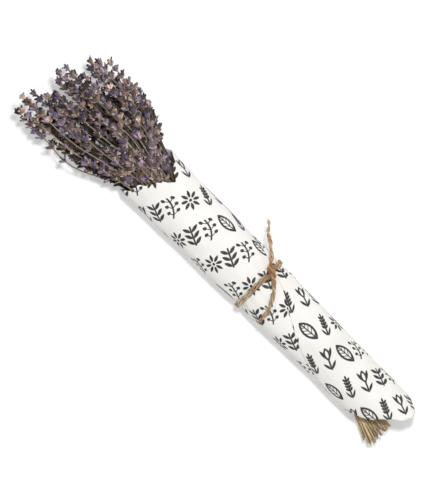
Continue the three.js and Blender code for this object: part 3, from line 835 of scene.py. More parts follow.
def crease(x, angle):
    """The sheet's soft waves: long ones along the roll, puckers that run into the twine and wavy ends.
    Every layer has the same ones at the same place round the roll, so that the layers stay apart."""
    near_twine = bump(x, TWINE_X, PUCKER_SPREAD) * (1 - PUCKER_HOLD * bump(x, TWINE_X, PUCKER_HOLD_SPREAD))
    return (
        ripples(LONG_WAVES, angle, x)
        + near_twine * ripples(PUCKERS, angle, x)
        + smooth(*MOUTH_WAVES_X, x) * ripples(MOUTH_WAVES, angle, x)
        + smooth(*FOOT_WAVES_X, x) * ripples(FOOT_WAVES, angle, x)
    )


def wrap_point(x, angle, out, floor_rise=0.0, waves=0.0):
    """A point at an angle from the top towards +Y, out from the roll's outside by a distance. The roll's
    section is an ellipse, drawn in under the twine and pressed flat where it lies."""
    widening = (WRAP_HALF_WIDTH_MOUTH - WRAP_HALF_WIDTH_FOOT) * (x - WRAP_FROM_X) / WRAP_LENGTH
    free = WRAP_HALF_WIDTH_FOOT + widening
    drawn = CINCH * bump(x, TWINE_X, CINCH_SPREAD)
    floor = TWINE_LIFT * bump(x, TWINE_X, CINCH_SPREAD)
    a = np.radians(angle)
    y = (free - drawn + out + waves) * np.sin(a)
    z = WRAP_FLATTENING * free - WRAP_SAG + (WRAP_FLATTENING * free - drawn + out + waves) * np.cos(a)
    return np.stack(np.broadcast_arrays(x, y, np.maximum(z, floor + floor_rise - out)), -1)


def seam_angle(x):
    """Where the sheet's free edge lies round the roll: a slant at the seam's middle that levels off at
    both ends."""
    return SEAM_REACH * np.tanh(SEAM_SLOPE * (SEAM_X - x) / SEAM_REACH)


def wrapped(angle):
    """The same angle from -180 to 180."""
    return (angle + 180) % 360 - 180


def mouth_x(angle):
    """The notched edge at the flowers: lowest at one place on top and scalloped all round."""
    away = np.hypot(wrapped(angle - NOTCH_ANGLE), NOTCH_HALF_ANGLE) - NOTCH_HALF_ANGLE
    return NOTCH_X + MOUTH_RISE * (1 - np.exp(-away / NOTCH_SPREAD)) + ripples(MOUTH_SCALLOPS, angle)


def foot_x(angle):
    """The slanting edge at the cut ends, faintly scalloped."""
    return across(FOOT, wrapped(angle))[..., 0] + ripples(FOOT_SCALLOPS, angle)


def sheet_parts(thickness):
    """One sheet rolled on itself as a spiral, an outer and an inner skin with a rim round all four edges.
    A point's layer lies inwards by its share of a turn behind the free edge. Columns run straight up to
    one angle and slant with the free edge after it, and as both ends depend on the angle, x and angle are
    settled in rounds."""
    column = np.arange(STRAIGHT_COLUMNS + SLANTED_COLUMNS + 1)
    rows, columns = SHEET_ROWS, len(column)
    v = np.linspace(0, 1, rows)[:, None]
    share = np.minimum(column / STRAIGHT_COLUMNS, 1)
    straight = INNER_EDGE_ANGLE + (STRAIGHT_ANGLE - INNER_EDGE_ANGLE) * share
    slanted = np.maximum(column - STRAIGHT_COLUMNS, 0) / SLANTED_COLUMNS
    angle = np.full((rows, columns), float(INNER_EDGE_ANGLE))
    for _ in range(SETTLE_ROUNDS):
        x = foot_x(angle) + (mouth_x(angle) - foot_x(angle)) * v
        angle = straight + (seam_angle(x) - STRAIGHT_ANGLE) * slanted
    behind = seam_angle(x) - angle
    pressed = smooth(FREE_EDGE_TURN, 0, behind) * (ripples(FREE_EDGE_WAVES, angle, x) - FREE_EDGE_PRESS)
    waves = crease(x, angle) + pressed
    skins = []
    for depth in (0.0, thickness):
        inwards = LAYER_STEP * behind / 360 + depth
        rise = LAYER_STEP * smooth(*SECOND_LAYER_TURNS, behind) + depth - inwards
        skins.append(wrap_point(x, angle, -inwards, rise, waves))
    count = rows * columns
    outer = grid_faces(rows, columns, closed=False)[:, ::-1]
    inner = outer[:, ::-1] + count
    at = np.arange(count).reshape(rows, columns)
    rim = np.concatenate([at[0], at[1:, -1], at[-1, -2::-1], at[-2:0:-1, 0]])
    turned = np.roll(rim, -1)
    edge = np.stack([rim, turned, turned + count, rim + count], -1)
    points = np.concatenate([s.reshape(-1, 3) for s in skins])
    flat = np.stack([np.radians(angle) * SHEET_RADIUS, x], -1).reshape(-1, 2)
    facing = np.repeat([1.0, 0.0], count)
    return points, [outer, inner, edge], np.concatenate([flat, flat]), facing


# The twine


def smooth_line(points, spacing):
    """A curve through the points, cubic between two of them with a tangent that takes its neighbours at
    the square root of their distance, then cut into equal steps."""
    p = np.asarray(points, float)
    p = np.concatenate([[2 * p[0] - p[1]], p, [2 * p[-1] - p[-2]]])
    step = np.linalg.norm(np.diff(p, axis=0), axis=1)[:, None] ** 0.5
    a, b, c, d = p[:-3], p[1:-2], p[2:-1], p[3:]
    s0, s1, s2 = step[:-2], step[1:-1], step[2:]
    start = s1 * ((b - a) / s0 - (c - a) / (s0 + s1) + (c - b) / s1)
    end = s1 * ((c - b) / s1 - (d - b) / (s1 + s2) + (d - c) / s2)
    t = np.linspace(0, 1, CURVE_STEPS, endpoint=False)[None, :, None]
    line = cubic(t, b[:, None], c[:, None], start[:, None], end[:, None]).reshape(-1, 3)
    line = np.concatenate([line, p[-2:-1]])
    far = np.concatenate([[0], np.cumsum(np.linalg.norm(np.diff(line, axis=0), axis=1))])
    want = np.linspace(0, far[-1], int(far[-1] / spacing) + 1)
    return np.stack([np.interp(want, far, line[:, k]) for k in range(3)], -1), want


def laid_round(rows):
    """Points of the twine by x, angle round the roll and height of the centre line over its lowest
    place."""
    x, angle, out = np.array(rows, float).T
    return wrap_point(x, angle, TWINE_CLEARANCE + TWINE_RADIUS + out)


def at_knot(x, rows):
    """The same, with x and angle counted from the knot."""
    return laid_round(np.array(rows) + (x, KNOT_ANGLE, 0))


def frame_of(line):
    """Two directions across a line at each of its points: level with the roll's skin, and out of it."""
    along = unit(np.gradient(line, axis=0))
    away = unit((line - (0, 0, ROLL_MIDDLE_Z)) * (0, 1, 1))
    side = unit(np.cross(along, away))
    return side, np.cross(side, along)


def tail(rows, side, start):
    """A tail's strand: it stands off the tail's own line by an offset, on a side that turns as it
    runs."""
    line, far = smooth_line(rows, TAIL_SPACING)
    level, upright = frame_of(line)
    turn = (2 * math.pi * far / TAIL_PITCH + start)[:, None]
    return line + side * TAIL_OFFSET * (np.cos(turn) * level + np.sin(turn) * upright)


def strand_points(side):
    """One strand: a free tail, the knot, once round the roll, the knot again and the other tail."""
    x = TWINE_X + side * STRAND_OFFSET
    turns = np.arange(KNOT_HALF_GAP, 361 - KNOT_HALF_GAP, ROUND_STEP) + KNOT_ANGLE
    lower = tail(at_knot(TWINE_X, LOWER_TAIL), side, LOWER_TAIL_START)
    return np.concatenate(
        [
            tail(UPPER_TAIL, side, UPPER_TAIL_START)[TAIL_TRIM[side]:],
            at_knot(x, INTO_TURN),
            laid_round(np.stack([np.full(len(turns), x), turns, 0 * turns], -1)),
            at_knot(x, OUT_OF_TURN),
            lower[: -TAIL_TRIM[side]],
        ]
    )


def arch_points(side):
    """The doubled twine passes once more over the knot."""
    return at_knot(TWINE_X, np.array(KNOT_ARCH) + (0, side * ARCH_APART / 2, 0))


def near(line, place, spread):
    """1 at a place and falling off round it."""
    return bump(np.linalg.norm(line - place, axis=1), 0, spread)


def wear_and_sheen(line):
    """How pale the jute is: worn most at the end of the upper tail, and a painted sheen on the roll's
    flanks.
    """
    end = near(line, at_knot(TWINE_X, UPPER_TAIL[-1:]), WORN_END_SPREAD)
    return WORN_END * end + FLANK_SHEEN * smooth(*FLANKS_Y, np.abs(line[:, 1])) - WEAR_AND_SHEEN_LESS


def rust(line):
    """How reddish brown the jute is: most at the knot and at the end of the lower tail."""
    knot = near(line, at_knot(TWINE_X, RUSTY_KNOT), RUSTY_KNOT_SPREAD)
    return knot + RUSTY_END * near(line, at_knot(TWINE_X, LOWER_TAIL[-1:]), RUSTY_END_SPREAD)


def ply_parts(line, far, radius, pitch, phase, rng):
    """Two plies wound round each other: each one is a round section whose middle turns about the strand's
    line, a little farther off it at both ends."""
    side, rise = frame_of(line)
    parts = []
    level, upright = ring(PLY_SIDES).T[:, None, :, None]
    turn = np.arange(PLY_SIDES) * 2 * math.pi / PLY_SIDES
    ends = smooth(PLY_LOOSE_LENGTH, 0, far) + smooth(PLY_LOOSE_LENGTH, 0, far[-1] - far)
    off = (PLY_OFFSET * radius * (1 + PLY_LOOSE * ends))[:, None]
    for ply in (0, math.pi):
        angle = (2 * math.pi * far / pitch + phase + ply)[:, None]
        centre = line + off * (np.cos(angle) * side + np.sin(angle) * rise)
        swell = PLY_SWELL * np.sin(far / PLY_SWELL_LENGTH + ply) + PLY_NICKS * np.sin(far / PLY_NICK_LENGTH)
        rough = rng.uniform(*PLY_ROUGH, (len(line), PLY_SIDES))
        thick = (PLY_RADIUS * radius * (1 + swell))[:, None] * rough
        skin = centre[:, None] + thick[..., None] * (level * side[:, None] + upright * rise[:, None])
        values = {
            "far": np.repeat(far, PLY_SIDES), "round": np.tile(turn, len(line)),
            "rust": np.repeat(rust(line), PLY_SIDES),
            # one ply paler than the other, plus wear and the painted sheen on the roll's flanks
            "pale": PLY_PALE * math.cos(ply) + np.repeat(wear_and_sheen(line), PLY_SIDES),
        }
        parts.append((skin.reshape(-1, 3), tube_faces(len(line), PLY_SIDES, 1), values))
    return parts


def hairs(paths, thickness, taper):
    """Three-sided hairs along their paths, thinner towards the end and never under the floor."""
    paths[..., 2] = np.maximum(paths[..., 2], HAIR_LOWEST_Z)
    scale = thickness * (1 - taper * np.linspace(0, 1, HAIR_RINGS)) * np.ones((len(paths), 1))
    return tubes(paths, ring(3), scale)


def tuft_parts(line, radius, count, rng):
    """The frayed ends of a strand: fibres that run on past each end and spread."""
    parts = []
    t = np.linspace(0, 1, HAIR_RINGS)[:, None]
    for end, before in ((line[0], line[3]), (line[-1], line[-4])):
        along = unit(end - before)
        spread = rng.normal(size=(count, 3)) * TUFT_SPREAD
        heading = unit(along + spread - (spread @ along)[:, None] * along)
        reach = rng.uniform(*TUFT_LENGTHS, count)[:, None, None]
        start = end - TUFT_DEPTH * along + radius * TUFT_ROOT * unit(spread)
        bend = rng.normal(size=(count, 1, 3)) * TUFT_BEND
        paths = start[:, None] + reach * (t * heading[:, None] + t**2 * bend) + TUFT_DRAWN * t * along
        points, faces = hairs(paths, TUFT_THICKNESS, TUFT_TAPER)
        parts.append((points, faces, {"far": 0.0, "round": 0.0, "rust": 0.0, "pale": TUFT_PALE}))
    return parts


def fibre_parts(line, far, radius, count, rng):
    """Loose fibres that leave the strand near its surface, curl and taper."""
    pick = rng.integers(2, len(line) - 2, count)
    along = unit(line[pick + 1] - line[pick - 1])
    out = unit(np.cross(along, rng.normal(size=(count, 3))))
    curl = unit(np.cross(along, out))
    along, out, curl = along[:, None], out[:, None], curl[:, None]
    t = np.linspace(0, 1, HAIR_RINGS)[:, None]
    reach = rng.uniform(*FIBRE_LENGTHS, count)[:, None, None]
    lean = rng.uniform(-1, 1, count)[:, None, None]
    bent = t * (FIBRE_RISE * out + lean * along) + t**2 * FIBRE_CURL * lean * curl
    paths = line[pick][:, None] + radius * FIBRE_ROOT * out + reach * bent
    points, faces = hairs(paths, FIBRE_THICKNESS, FIBRE_TAPER)
    each = len(points) // count
    values = {"far": np.repeat(far[pick], each), "rust": np.repeat(rust(line[pick]), each)}
    return points, faces, {**values, "round": 0.0, "pale": FIBRE_PALE}


# Finishes


def times(colour, *shares):
    """A colour times one share, or times three, and never over 1."""
    return [min(1, share * c) for share, c in zip(shares * (3 // len(shares)), colour)]


class Finish:
    """The nodes of one material. Each call adds a node and gives back its output. A value can be
    multiplied, scaled and moved on, moved back, stripped of its sign, compared, stretched or turned into a
    range or a ramp of colours, and a colour can be mixed with another or lit."""

    def __init__(self, name):
        self.material = bpy.data.materials.new(name)
        self.material.use_nodes = True
        self.tree = self.material.node_tree
        self.shader = self.tree.nodes["Principled BSDF"]

    def put(self, value, socket):
        if isinstance(value, bpy.types.NodeSocket):
            self.tree.links.new(value, socket)
        else:
            socket.default_value = value

    def node(self, kind, *values, output=0, **settings):
        made = self.tree.nodes.new("ShaderNode" + kind)
        for key, value in settings.items():
            setattr(made, key, value)
        for value, socket in zip(values, made.inputs):
            self.put(value, socket)
        return made.outputs[output]

    def math(self, operation, *values):
        return self.node("Math", *values, operation=operation)

    def product(self, first, second):
        return self.math("MULTIPLY", first, second)

    def scaled(self, value, by, plus):
        return self.math("MULTIPLY_ADD", value, by, plus)

    def moved(self, value, by):
        return self.math("SUBTRACT", value, by)

    def size(self, value):
        return self.math("ABSOLUTE", value)

    def least(self, first, *others):
        for other in others:
            first = self.math("MINIMUM", first, other)
        return first

    def attribute(self, name):
        return self.node("Attribute", attribute_name=name, output="Fac")

    def stretched(self, place, scale):
        return self.node("VectorMath", place, scale, operation="MULTIPLY")

    def noise(self, place, scale, detail):
        made = self.tree.nodes.new("ShaderNodeTexNoise")
        self.put(place, made.inputs["Vector"])
        made.inputs["Scale"].default_value = scale
        made.inputs["Detail"].default_value = detail
        return made.outputs["Fac"]

    def between(self, value, low, high, new_low=0.0, new_high=1.0):
        return self.node("MapRange", value, low, high, new_low, new_high)

    def mix(self, share, first, second, blend="MIX"):
        made = self.tree.nodes.new("ShaderNodeMix")
        made.data_type, made.blend_type = "RGBA", blend
        self.put(share, made.inputs[0])
        for colour, socket in ((first, made.inputs[6]), (second, made.inputs[7])):
            self.put(colour if isinstance(colour, bpy.types.NodeSocket) else (*colour, 1), socket)
        return made.outputs[2]

    def lit(self, colour, light):
        return self.mix(1.0, colour, self.node("CombineXYZ", light, light, light), "MULTIPLY")

    def ramp(self, value, *stops):
        made = self.tree.nodes.new("ShaderNodeValToRGB")
        self.put(value, made.inputs[0])
        stop = made.color_ramp.elements
        while len(stop) < len(stops):
            stop.new(0.5)
        for element, (place, colour) in zip(stop, stops):
            element.position, element.color = place, (*colour, 1)
        return made.outputs[0]

    def done(self, colour, roughness, height, strength, distance, **plain):
        self.put(colour, self.shader.inputs["Base Color"])
        self.put(roughness, self.shader.inputs["Roughness"])
        made = self.tree.nodes.new("ShaderNodeBump")
        made.inputs["Strength"].default_value = strength
        made.inputs["Distance"].default_value = distance
        self.put(height, made.inputs["Height"])
        self.put(made.outputs[0], self.shader.inputs["Normal"])
        for key, value in plain.items():
            self.shader.inputs[key.replace("_", " ").title().replace("Ior", "IOR")].default_value = value
        return self.material


def stem_finish(tan, olive):
    """Dried stem: tan to olive by the stem, streaked along its length, ochre to brown at its cut end, paler
    towards the flowers, and darkened by painted shade deep in the bunch; leaves are greyer."""
    f = Finish("dried stem")
    place = f.node("TexCoord", output="Object")
    along = f.node("SeparateXYZ", place)
    streaks = f.noise(f.stretched(place, (0.05, 1, 1)), 2600, 4)
    patches = f.noise(place, 70, 2)
    shade = f.attribute("shade")
    pale, dark = times(tan, 1.45), times(olive, 0.34)
    colour = f.ramp(
        shade, (0.0, tan), (0.2, dark), (0.4, pale), (0.58, tan), (0.74, olive), (0.86, dark), (1.0, pale),
    )
    colour = f.mix(f.between(patches, 0.35, 0.7, 0, 0.6), colour, times(tan, 0.6))
    colour = f.mix(f.between(streaks, 0.35, 0.7, 0.0, 0.55), colour, times(olive, 0.35))
    colour = f.mix(f.product(f.attribute("leaf"), 0.75), colour, (0.20, 0.185, 0.13))
    cut_end = f.between(along, -0.160, -0.182)
    ochre = f.ramp(
        f.math("FRACT", f.product(shade, 3.7)), (0.0, (0.40, 0.27, 0.12)), (0.25, (0.68, 0.54, 0.32)),
        (0.45, (0.14, 0.085, 0.04)), (0.65, (0.5, 0.4, 0.25)), (0.8, (0.2, 0.125, 0.06)),
        (1.0, (0.6, 0.42, 0.2)),
    )
    colour = f.mix(f.product(cut_end, f.between(streaks, 0.65, 0.35, 0.45, 1.0)), colour, ochre)
    # painted shade deep under the topmost sprigs, but none at the cut ends
    light = f.math("MAXIMUM", f.between(f.attribute("deep"), 0.0, 1.0, 1.0, 0.11), cut_end)
    colour = f.lit(colour, f.product(light, f.between(along, 0.06, 0.11, 1.15, 1.5)))
    roughness = f.between(streaks, 0.3, 0.7, 0.6, 0.85)
    return f.done(colour, roughness, streaks, 0.6, 0.0003, sheen_weight=0.08, specular_ior_level=0.35)


def calyx_finish(violet, taupe):
    """Dried calyx: violet, mauve, taupe, brown or nearly black by the calyx, paler at its foot, downy and
    mottled, and darkened almost to black by painted shade deep in the bunch."""
    f = Finish("dried calyx")
    place = f.node("TexCoord", output="Object")
    mottle = f.noise(place, 700, 3)
    ribs = f.noise(place, 1700, 3)
    shade = f.math("ADD", f.attribute("shade"), f.between(mottle, 0.3, 0.7, -0.05, 0.05))
    mauve, blue = times(violet, 1.75, 2.1, 1.5), times(violet, 0.88, 1.02, 1.2)
    brown, dark = times(taupe, 0.58, 0.54, 0.6), times(taupe, 0.19, 0.18, 0.22)
    colour = f.ramp(
        shade, (0.0, violet), (0.12, mauve), (0.23, blue), (0.32, dark), (0.4, blue), (0.48, violet),
        (0.56, brown), (0.64, mauve), (0.72, taupe), (0.79, brown), (0.86, dark),
        (0.93, (0.14, 0.08, 0.05)), (1.0, violet),
    )
    colour = f.mix(f.between(f.attribute("rise"), 0.0, 0.35, 0.5, 0.0), colour, taupe)
    petal = f.ramp(
        f.attribute("shade"), (0.0, (0.06, 0.045, 0.115)), (0.35, (0.1, 0.08, 0.135)),
        (0.6, (0.11, 0.065, 0.045)), (1.0, (0.26, 0.21, 0.16)),
    )
    colour = f.mix(f.attribute("petal"), colour, petal)
    light = f.between(f.math("POWER", f.attribute("light"), 1.6), 0.05, 0.85, 0.44, 3.3)
    light = f.product(light, f.between(f.attribute("rise"), 0.72, 1.0, 1.0, 0.4))
    colour = f.lit(colour, f.product(light, f.between(ribs, 0.35, 0.65, 0.5, 1.5)))
    # painted shade: nearly black deep under the topmost sprigs
    colour = f.mix(f.between(f.attribute("deep"), 0.0, 1.0, 0.0, 0.9), colour, (0.022, 0.010, 0.008))
    return f.done(
        colour, 0.85, ribs, 0.7, 0.0004, sheen_weight=0.12, sheen_roughness=0.5, specular_ior_level=0.3
    )


def ornament(f, flat):
    """Rows of small marks that slant across the sheet, taken in turn along a row: a leafy twig, a veined
    leaf, a daisy, a tulip, a twig of berries and a lavender spike. Each mark is a distance in its own x
    and y, below 0 inside it, and the output is 1 where there is ink."""

    def cell(v, pitch):
        """The number of the cell that v is in, and how far v is from its middle."""
        number = f.math("FLOOR", f.math("DIVIDE", v, pitch))
        return number, f.moved(f.moved(v, f.product(number, pitch)), pitch / 2)

    def length(a, b):
        """How far the point at a and b is from the middle."""
        return f.math("SQRT", f.scaled(a, a, f.product(b, b)))

    def turned(a, b, angle):
        """The same point on axes that are turned by an angle."""
        c, s = math.cos(math.radians(angle)), math.sin(math.radians(angle))
        return f.scaled(a, c, f.product(b, s)), f.scaled(a, -s, f.product(b, c))

    def leaf(a, b, half_length, half_width):
        """The room between two equal arcs that meet in two points."""
        arc = (half_length**2 + half_width**2) / (2 * half_width)
        return f.moved(length(a, f.moved(f.size(b), half_width - arc)), arc)

    def line(edge, half_stroke):
        """A stroke along the edge of a shape."""
        return f.moved(f.size(edge), half_stroke)

    def within(shape, edge):
        """The part of a shape that another one holds."""
        return f.math("MAXIMUM", shape, edge)

    def stalk(a, b, half_length):
        """A thin bar along b."""
        return within(line(a, 0.5), line(b, half_length))

    def nearest(v, period, low, high):
        """How far v is from the nearest of the places low to high times the period."""
        k = f.math("ROUND", f.math("DIVIDE", v, period))
        k = f.math("MINIMUM", f.math("MAXIMUM", k, low), high)
        return f.scaled(k, -period, v)

    across_sheet, along_sheet = (f.node("SeparateXYZ", flat, output=k) for k in (0, 1))
    c, s = SHEET_UNIT * math.cos(ROW_SLANT), SHEET_UNIT * math.sin(ROW_SLANT)
    run = f.scaled(along_sheet, s, f.product(across_sheet, c))
    climb = f.scaled(along_sheet, c, f.scaled(across_sheet, -s, FAR_OFF))
    row, y = cell(climb, ROW_PITCH)
    place, x = cell(f.math("ADD", run, f.scaled(row, ROW_SHIFT, FAR_OFF)), MARK_PITCH)
    pick = f.math("FRACT", f.scaled(place, NEXT_MARK, f.product(row, NEXT_ROW_MARK)))
    x, y = (f.math("DIVIDE", v, MARK_SCALE) for v in (x, y))
    side = f.size(x)
    # a twig with pairs of pointed leaves
    pairs = leaf(*turned(f.moved(side, 2.2), nearest(f.moved(y, 0.3), 3.5, -1, 1), 40), 2.6, 0.95)
    twig = f.least(stalk(x, y, 5.6), pairs)
    # a veined leaf on a slant
    a, b = turned(x, y, 60)
    blade = leaf(a, b, 6.6, 3.0)
    veins = line(nearest(f.scaled(f.size(b), -1.1, a), 2.5, -2, 1), 0.34)
    veined = f.least(line(f.moved(blade, -0.3), 0.6), within(f.least(line(b, 0.35), veins), blade))
    # a daisy
    radius = length(x, y)
    angle = f.math("WRAP", f.math("ARCTAN2", y, x), math.pi / 8, -math.pi / 8)
    petal = leaf(f.moved(radius, 3.5), f.product(radius, f.math("SINE", angle)), 2.2, 0.85)
    daisy = f.least(petal, f.moved(radius, 0.85))
    # a tulip on its stem, with two leaves at its foot
    petals = leaf(*turned(f.moved(side, 1.9), f.moved(y, 3.1), 66), 3.3, 0.85)
    cup = f.least(line(f.moved(leaf(f.moved(y, 2.9), x, 3.4, 1.5), -0.2), 0.52), petals)
    foot = leaf(*turned(f.moved(side, 1.8), f.moved(y, -3.8), 52), 2.9, 0.75)
    tulip = f.least(cup, foot, stalk(x, f.moved(y, -3.0), 3.2))
    # a bent twig of berries
    lean = f.moved(x, f.product(f.product(y, y), 0.045))
    level = nearest(f.moved(y, 0.4), 3.6, -1, 1)
    aside = f.size(lean)
    berries = f.moved(length(f.moved(aside, 2.7), f.moved(level, 1.0)), 1.05)
    stalks = within(line(f.moved(level, f.scaled(aside, 0.7, -0.9)), 0.3), f.moved(aside, 2.6))
    berry_twig = f.least(stalk(lean, y, 5.9), berries, stalks)
    # a lavender spike
    buds = leaf(*turned(f.moved(side, 1.05), nearest(f.moved(y, 2.6), 1.8, -2, 1), 52), 1.5, 0.7)
    tip = leaf(f.moved(y, 5.9), x, 1.3, 0.6)
    blades = leaf(*turned(f.moved(side, 1.5), f.moved(y, -4.2), 60), 2.7, 0.6)
    spike = f.least(buds, tip, stalk(x, y, 6.0), blades)
    marks = (twig, veined, daisy, tulip, berry_twig, spike)
    ink = 0.0
    for k, mark in enumerate(marks):
        here = f.math("LESS_THAN", f.size(f.moved(pick, (k + 0.5) / len(marks))), 0.5 / len(marks))
        ink = f.scaled(f.between(mark, MARK_BLUR, -MARK_BLUR), here, ink)
    return ink


def paper_finish(white, ink_colour):
    """Thin white paper, faintly mottled with its fibres, printed on its outside in dark grey."""
    f = Finish("printed paper")
    place = f.node("TexCoord", output="Object")
    fibres = f.noise(place, 900, 5)
    clouds = f.noise(place, 45, 3)
    colour = f.mix(f.between(clouds, 0.3, 0.7), white, times(white, 0.94, 0.93, 0.90))
    colour = f.mix(f.between(fibres, 0.45, 0.75, 0.0, 0.25), colour, times(white, 0.86))
    ink = f.product(ornament(f, f.node("UVMap", uv_map="sheet")), f.attribute("facing"))
    ink = f.product(ink, f.between(fibres, 0.3, 0.75, 1.0, 0.9))
    colour = f.mix(ink, colour, ink_colour)
    dents = f.noise(f.stretched(place, (1, 1.6, 1.6)), 26, 2)
    height = f.scaled(dents, 4.0, f.scaled(clouds, 1.2, f.product(fibres, 0.2)))
    roughness = f.between(fibres, 0.3, 0.7, 0.55, 0.68)
    return f.done(colour, roughness, height, 0.5, 0.0015, specular_ior_level=0.15)


def jute_finish(brown):
    """Jute: straw to brown, with fine fibres along each ply, reddish brown patches, and one ply paler than
    the other; paler where it is worn and with a painted sheen on the roll's flanks."""
    f = Finish("jute twine")
    far, turn = f.product(f.attribute("far"), 0.35), f.product(f.attribute("round"), 2.2)
    fibres = f.noise(f.node("CombineXYZ", far, turn, 0.0), 2.2, 5)
    patches = f.noise(f.node("TexCoord", output="Object"), 110, 3)
    colour = f.mix(f.between(patches, 0.4, 0.6), brown, times(brown, 1.28, 1.46, 1.76))
    share = f.scaled(f.between(patches, 0.52, 0.4), 0.45, f.attribute("rust"))
    colour = f.mix(f.math("MINIMUM", share, 1.0), colour, times(brown, 0.98, 0.7, 0.57))
    light = f.between(fibres, 0.32, 0.6, 0.36, 1.18)
    # paler ply, wear and painted sheen on the roll's flanks
    colour = f.lit(colour, f.product(light, f.between(f.attribute("pale"), -0.8, 0.8, 0.66, 1.42)))
    return f.done(colour, 0.88, fibres, 0.8, 0.0004, sheen_weight=0.2, specular_ior_level=0.25)


def floor_finish(tone):
    """A pale floor that glows a little, so that shadows stay light."""
    f = Finish("pale floor")
    place = f.node("TexCoord", output="Object")
    colour = f.mix(f.noise(place, 3, 2), tone, times(tone, 0.985))
    f.put((*tone, 1), f.shader.inputs["Emission Color"])
    f.put(FLOOR_GLOW, f.shader.inputs["Emission Strength"])
    return f.done(colour, 0.9, f.noise(place, 900, 2), 0.03, 0.0002, specular_ior_level=0.1)


# The add-on


def length_property(name, description, default):
    """A length in metres."""
    return bpy.props.FloatProperty(
        name=name, description=description, default=default,
        min=0.0, unit="LENGTH", subtype="DISTANCE", precision=5,
    )


def colour_property(name, description, default):
    """A colour of red, green and blue."""
    return bpy.props.FloatVectorProperty(
        name=name, description=description, default=default,
        size=3, min=0.0, max=1.0, subtype="COLOR",
    )


class LavenderSprigSettings(bpy.types.PropertyGroup):
    """Sizes and colours of the stems, leaves and flower spikes."""

    stem_half_diagonal: length_property("Stem", "Half the diagonal of a stem's square section", 0.00085)
    leaf_length: length_property("Leaf length", "Length of a dried leaf", 0.0085)
    leaf_half_width: length_property("Leaf half width", "Half the width of a dried leaf", 0.00115)
    calyx_length: length_property("Calyx length", "Length of the lowest calyces of a spike", 0.0058)
    calyx_radius: length_property("Calyx radius", "Half the width of a calyx", 0.00118)
    stem_tan: colour_property("Stem tan", "The palest stems", (0.32, 0.25, 0.17))
    stem_olive: colour_property("Stem olive", "The greener stems", (0.20, 0.155, 0.08))
    calyx_violet: colour_property("Calyx violet", "The middle violet of the calyces", (0.118, 0.079, 0.131))
    calyx_taupe: colour_property("Calyx taupe", "The faded foot of the calyces", (0.24, 0.17, 0.122))


class LavenderPaperSettings(bpy.types.PropertyGroup):
    """Thickness and colours of the paper."""

    thickness: length_property("Thickness", "Thickness of the sheet", 0.00022)
    white: colour_property("White", "The bare paper", (0.77, 0.755, 0.735))
    ink: colour_property("Ink", "The printed ornament", (0.008, 0.010, 0.010))


class LavenderTwineSettings(bpy.types.PropertyGroup):
    """Twist and colour of the jute."""

    radius: length_property("Radius", "Half the thickness of a strand", TWINE_RADIUS * MM)
    pitch: length_property("Twist", "Length of one turn of the plies", 0.0105)
    brown: colour_property("Brown", "The middle tone of the jute", (0.37, 0.245, 0.13))


class LavenderStageSettings(bpy.types.PropertyGroup):
    """Light, floor and camera."""

    floor: colour_property("Floor", "The pale floor", (0.7, 0.7, 0.7))
    key_power: bpy.props.FloatProperty(name="Key light", description="Power of the key light", default=18.2)
    sky: bpy.props.FloatProperty(name="Room light", description="Strength of the room light", default=0.6)
    camera_distance: length_property("Camera distance", "From the camera to the middle of the roll", 2.6)


class LAVENDER_OT_stems(bpy.types.Operator):
    """Makes the stems and leaves, one piece for each clump"""

    bl_idname = "lavender.stems"
    bl_label = "Stems and leaves"

    def execute(self, context):
        s = context.scene.lavender_sprigs
        bunch = Bunch()
        finish = stem_finish(s.stem_tan, s.stem_olive)
        for clump in range(len(CLUMPS)):
            which = np.flatnonzero(bunch.clump == clump)
            parts = [stem_parts(bunch, which, s.stem_half_diagonal / MM)]
            leaves = [row for row in LEAVES if bunch.clump[row[0] - 1] == clump]
            if leaves:
                parts.append(leaf_parts(bunch, leaves, s.leaf_length / MM, s.leaf_half_width / MM))
            points, faces, attributes = joined(parts)
            name, replaced = "lavender_stems_%d" % (clump + 1), ["stems_%d" % (clump + 1)]
            new_piece(name, points, faces, finish, "lavender_stem", replaced, **attributes)
        return {"FINISHED"}


class LAVENDER_OT_spikes(bpy.types.Operator):
    """Makes the flower spikes, one piece for each clump"""

    bl_idname = "lavender.spikes"
    bl_label = "Flower spikes"

    def execute(self, context):
        s = context.scene.lavender_sprigs
        bunch = Bunch()
        finish = calyx_finish(s.calyx_violet, s.calyx_taupe)
        length, radius = s.calyx_length / MM, s.calyx_radius / MM
        for clump in range(len(CLUMPS)):
            which = np.flatnonzero(bunch.clump == clump)
            rng = np.random.default_rng(SPIKE_SEED + clump)
            points, faces, attributes = spike_parts(bunch, which, length, radius, rng)
            replaced = ["spike_%02d" % n for n in bunch.number[which] if n <= SPRIG_COUNT]
            name = "lavender_spikes_%d" % (clump + 1)
            new_piece(name, points, faces, finish, "lavender_flower", replaced, **attributes)
        return {"FINISHED"}


class LAVENDER_OT_paper(bpy.types.Operator):
    """Makes the rolled sheet of paper"""

    bl_idname = "lavender.paper"
    bl_label = "Paper"

    def execute(self, context):
        s = context.scene.lavender_paper
        points, faces, flat, facing = sheet_parts(s.thickness / MM)
        finish = paper_finish(s.white, s.ink)
        sheet = new_piece("paper_sheet", points, faces, finish, "paper", ["paper_wrap"], facing=facing)
        corner = np.empty(len(sheet.data.loops), np.int32)
        sheet.data.loops.foreach_get("vertex_index", corner)
        layer = sheet.data.uv_layers.new(name="sheet")
        layer.data.foreach_set("uv", (flat[corner] / SHEET_UNIT).astype(np.float32).ravel())
        return {"FINISHED"}


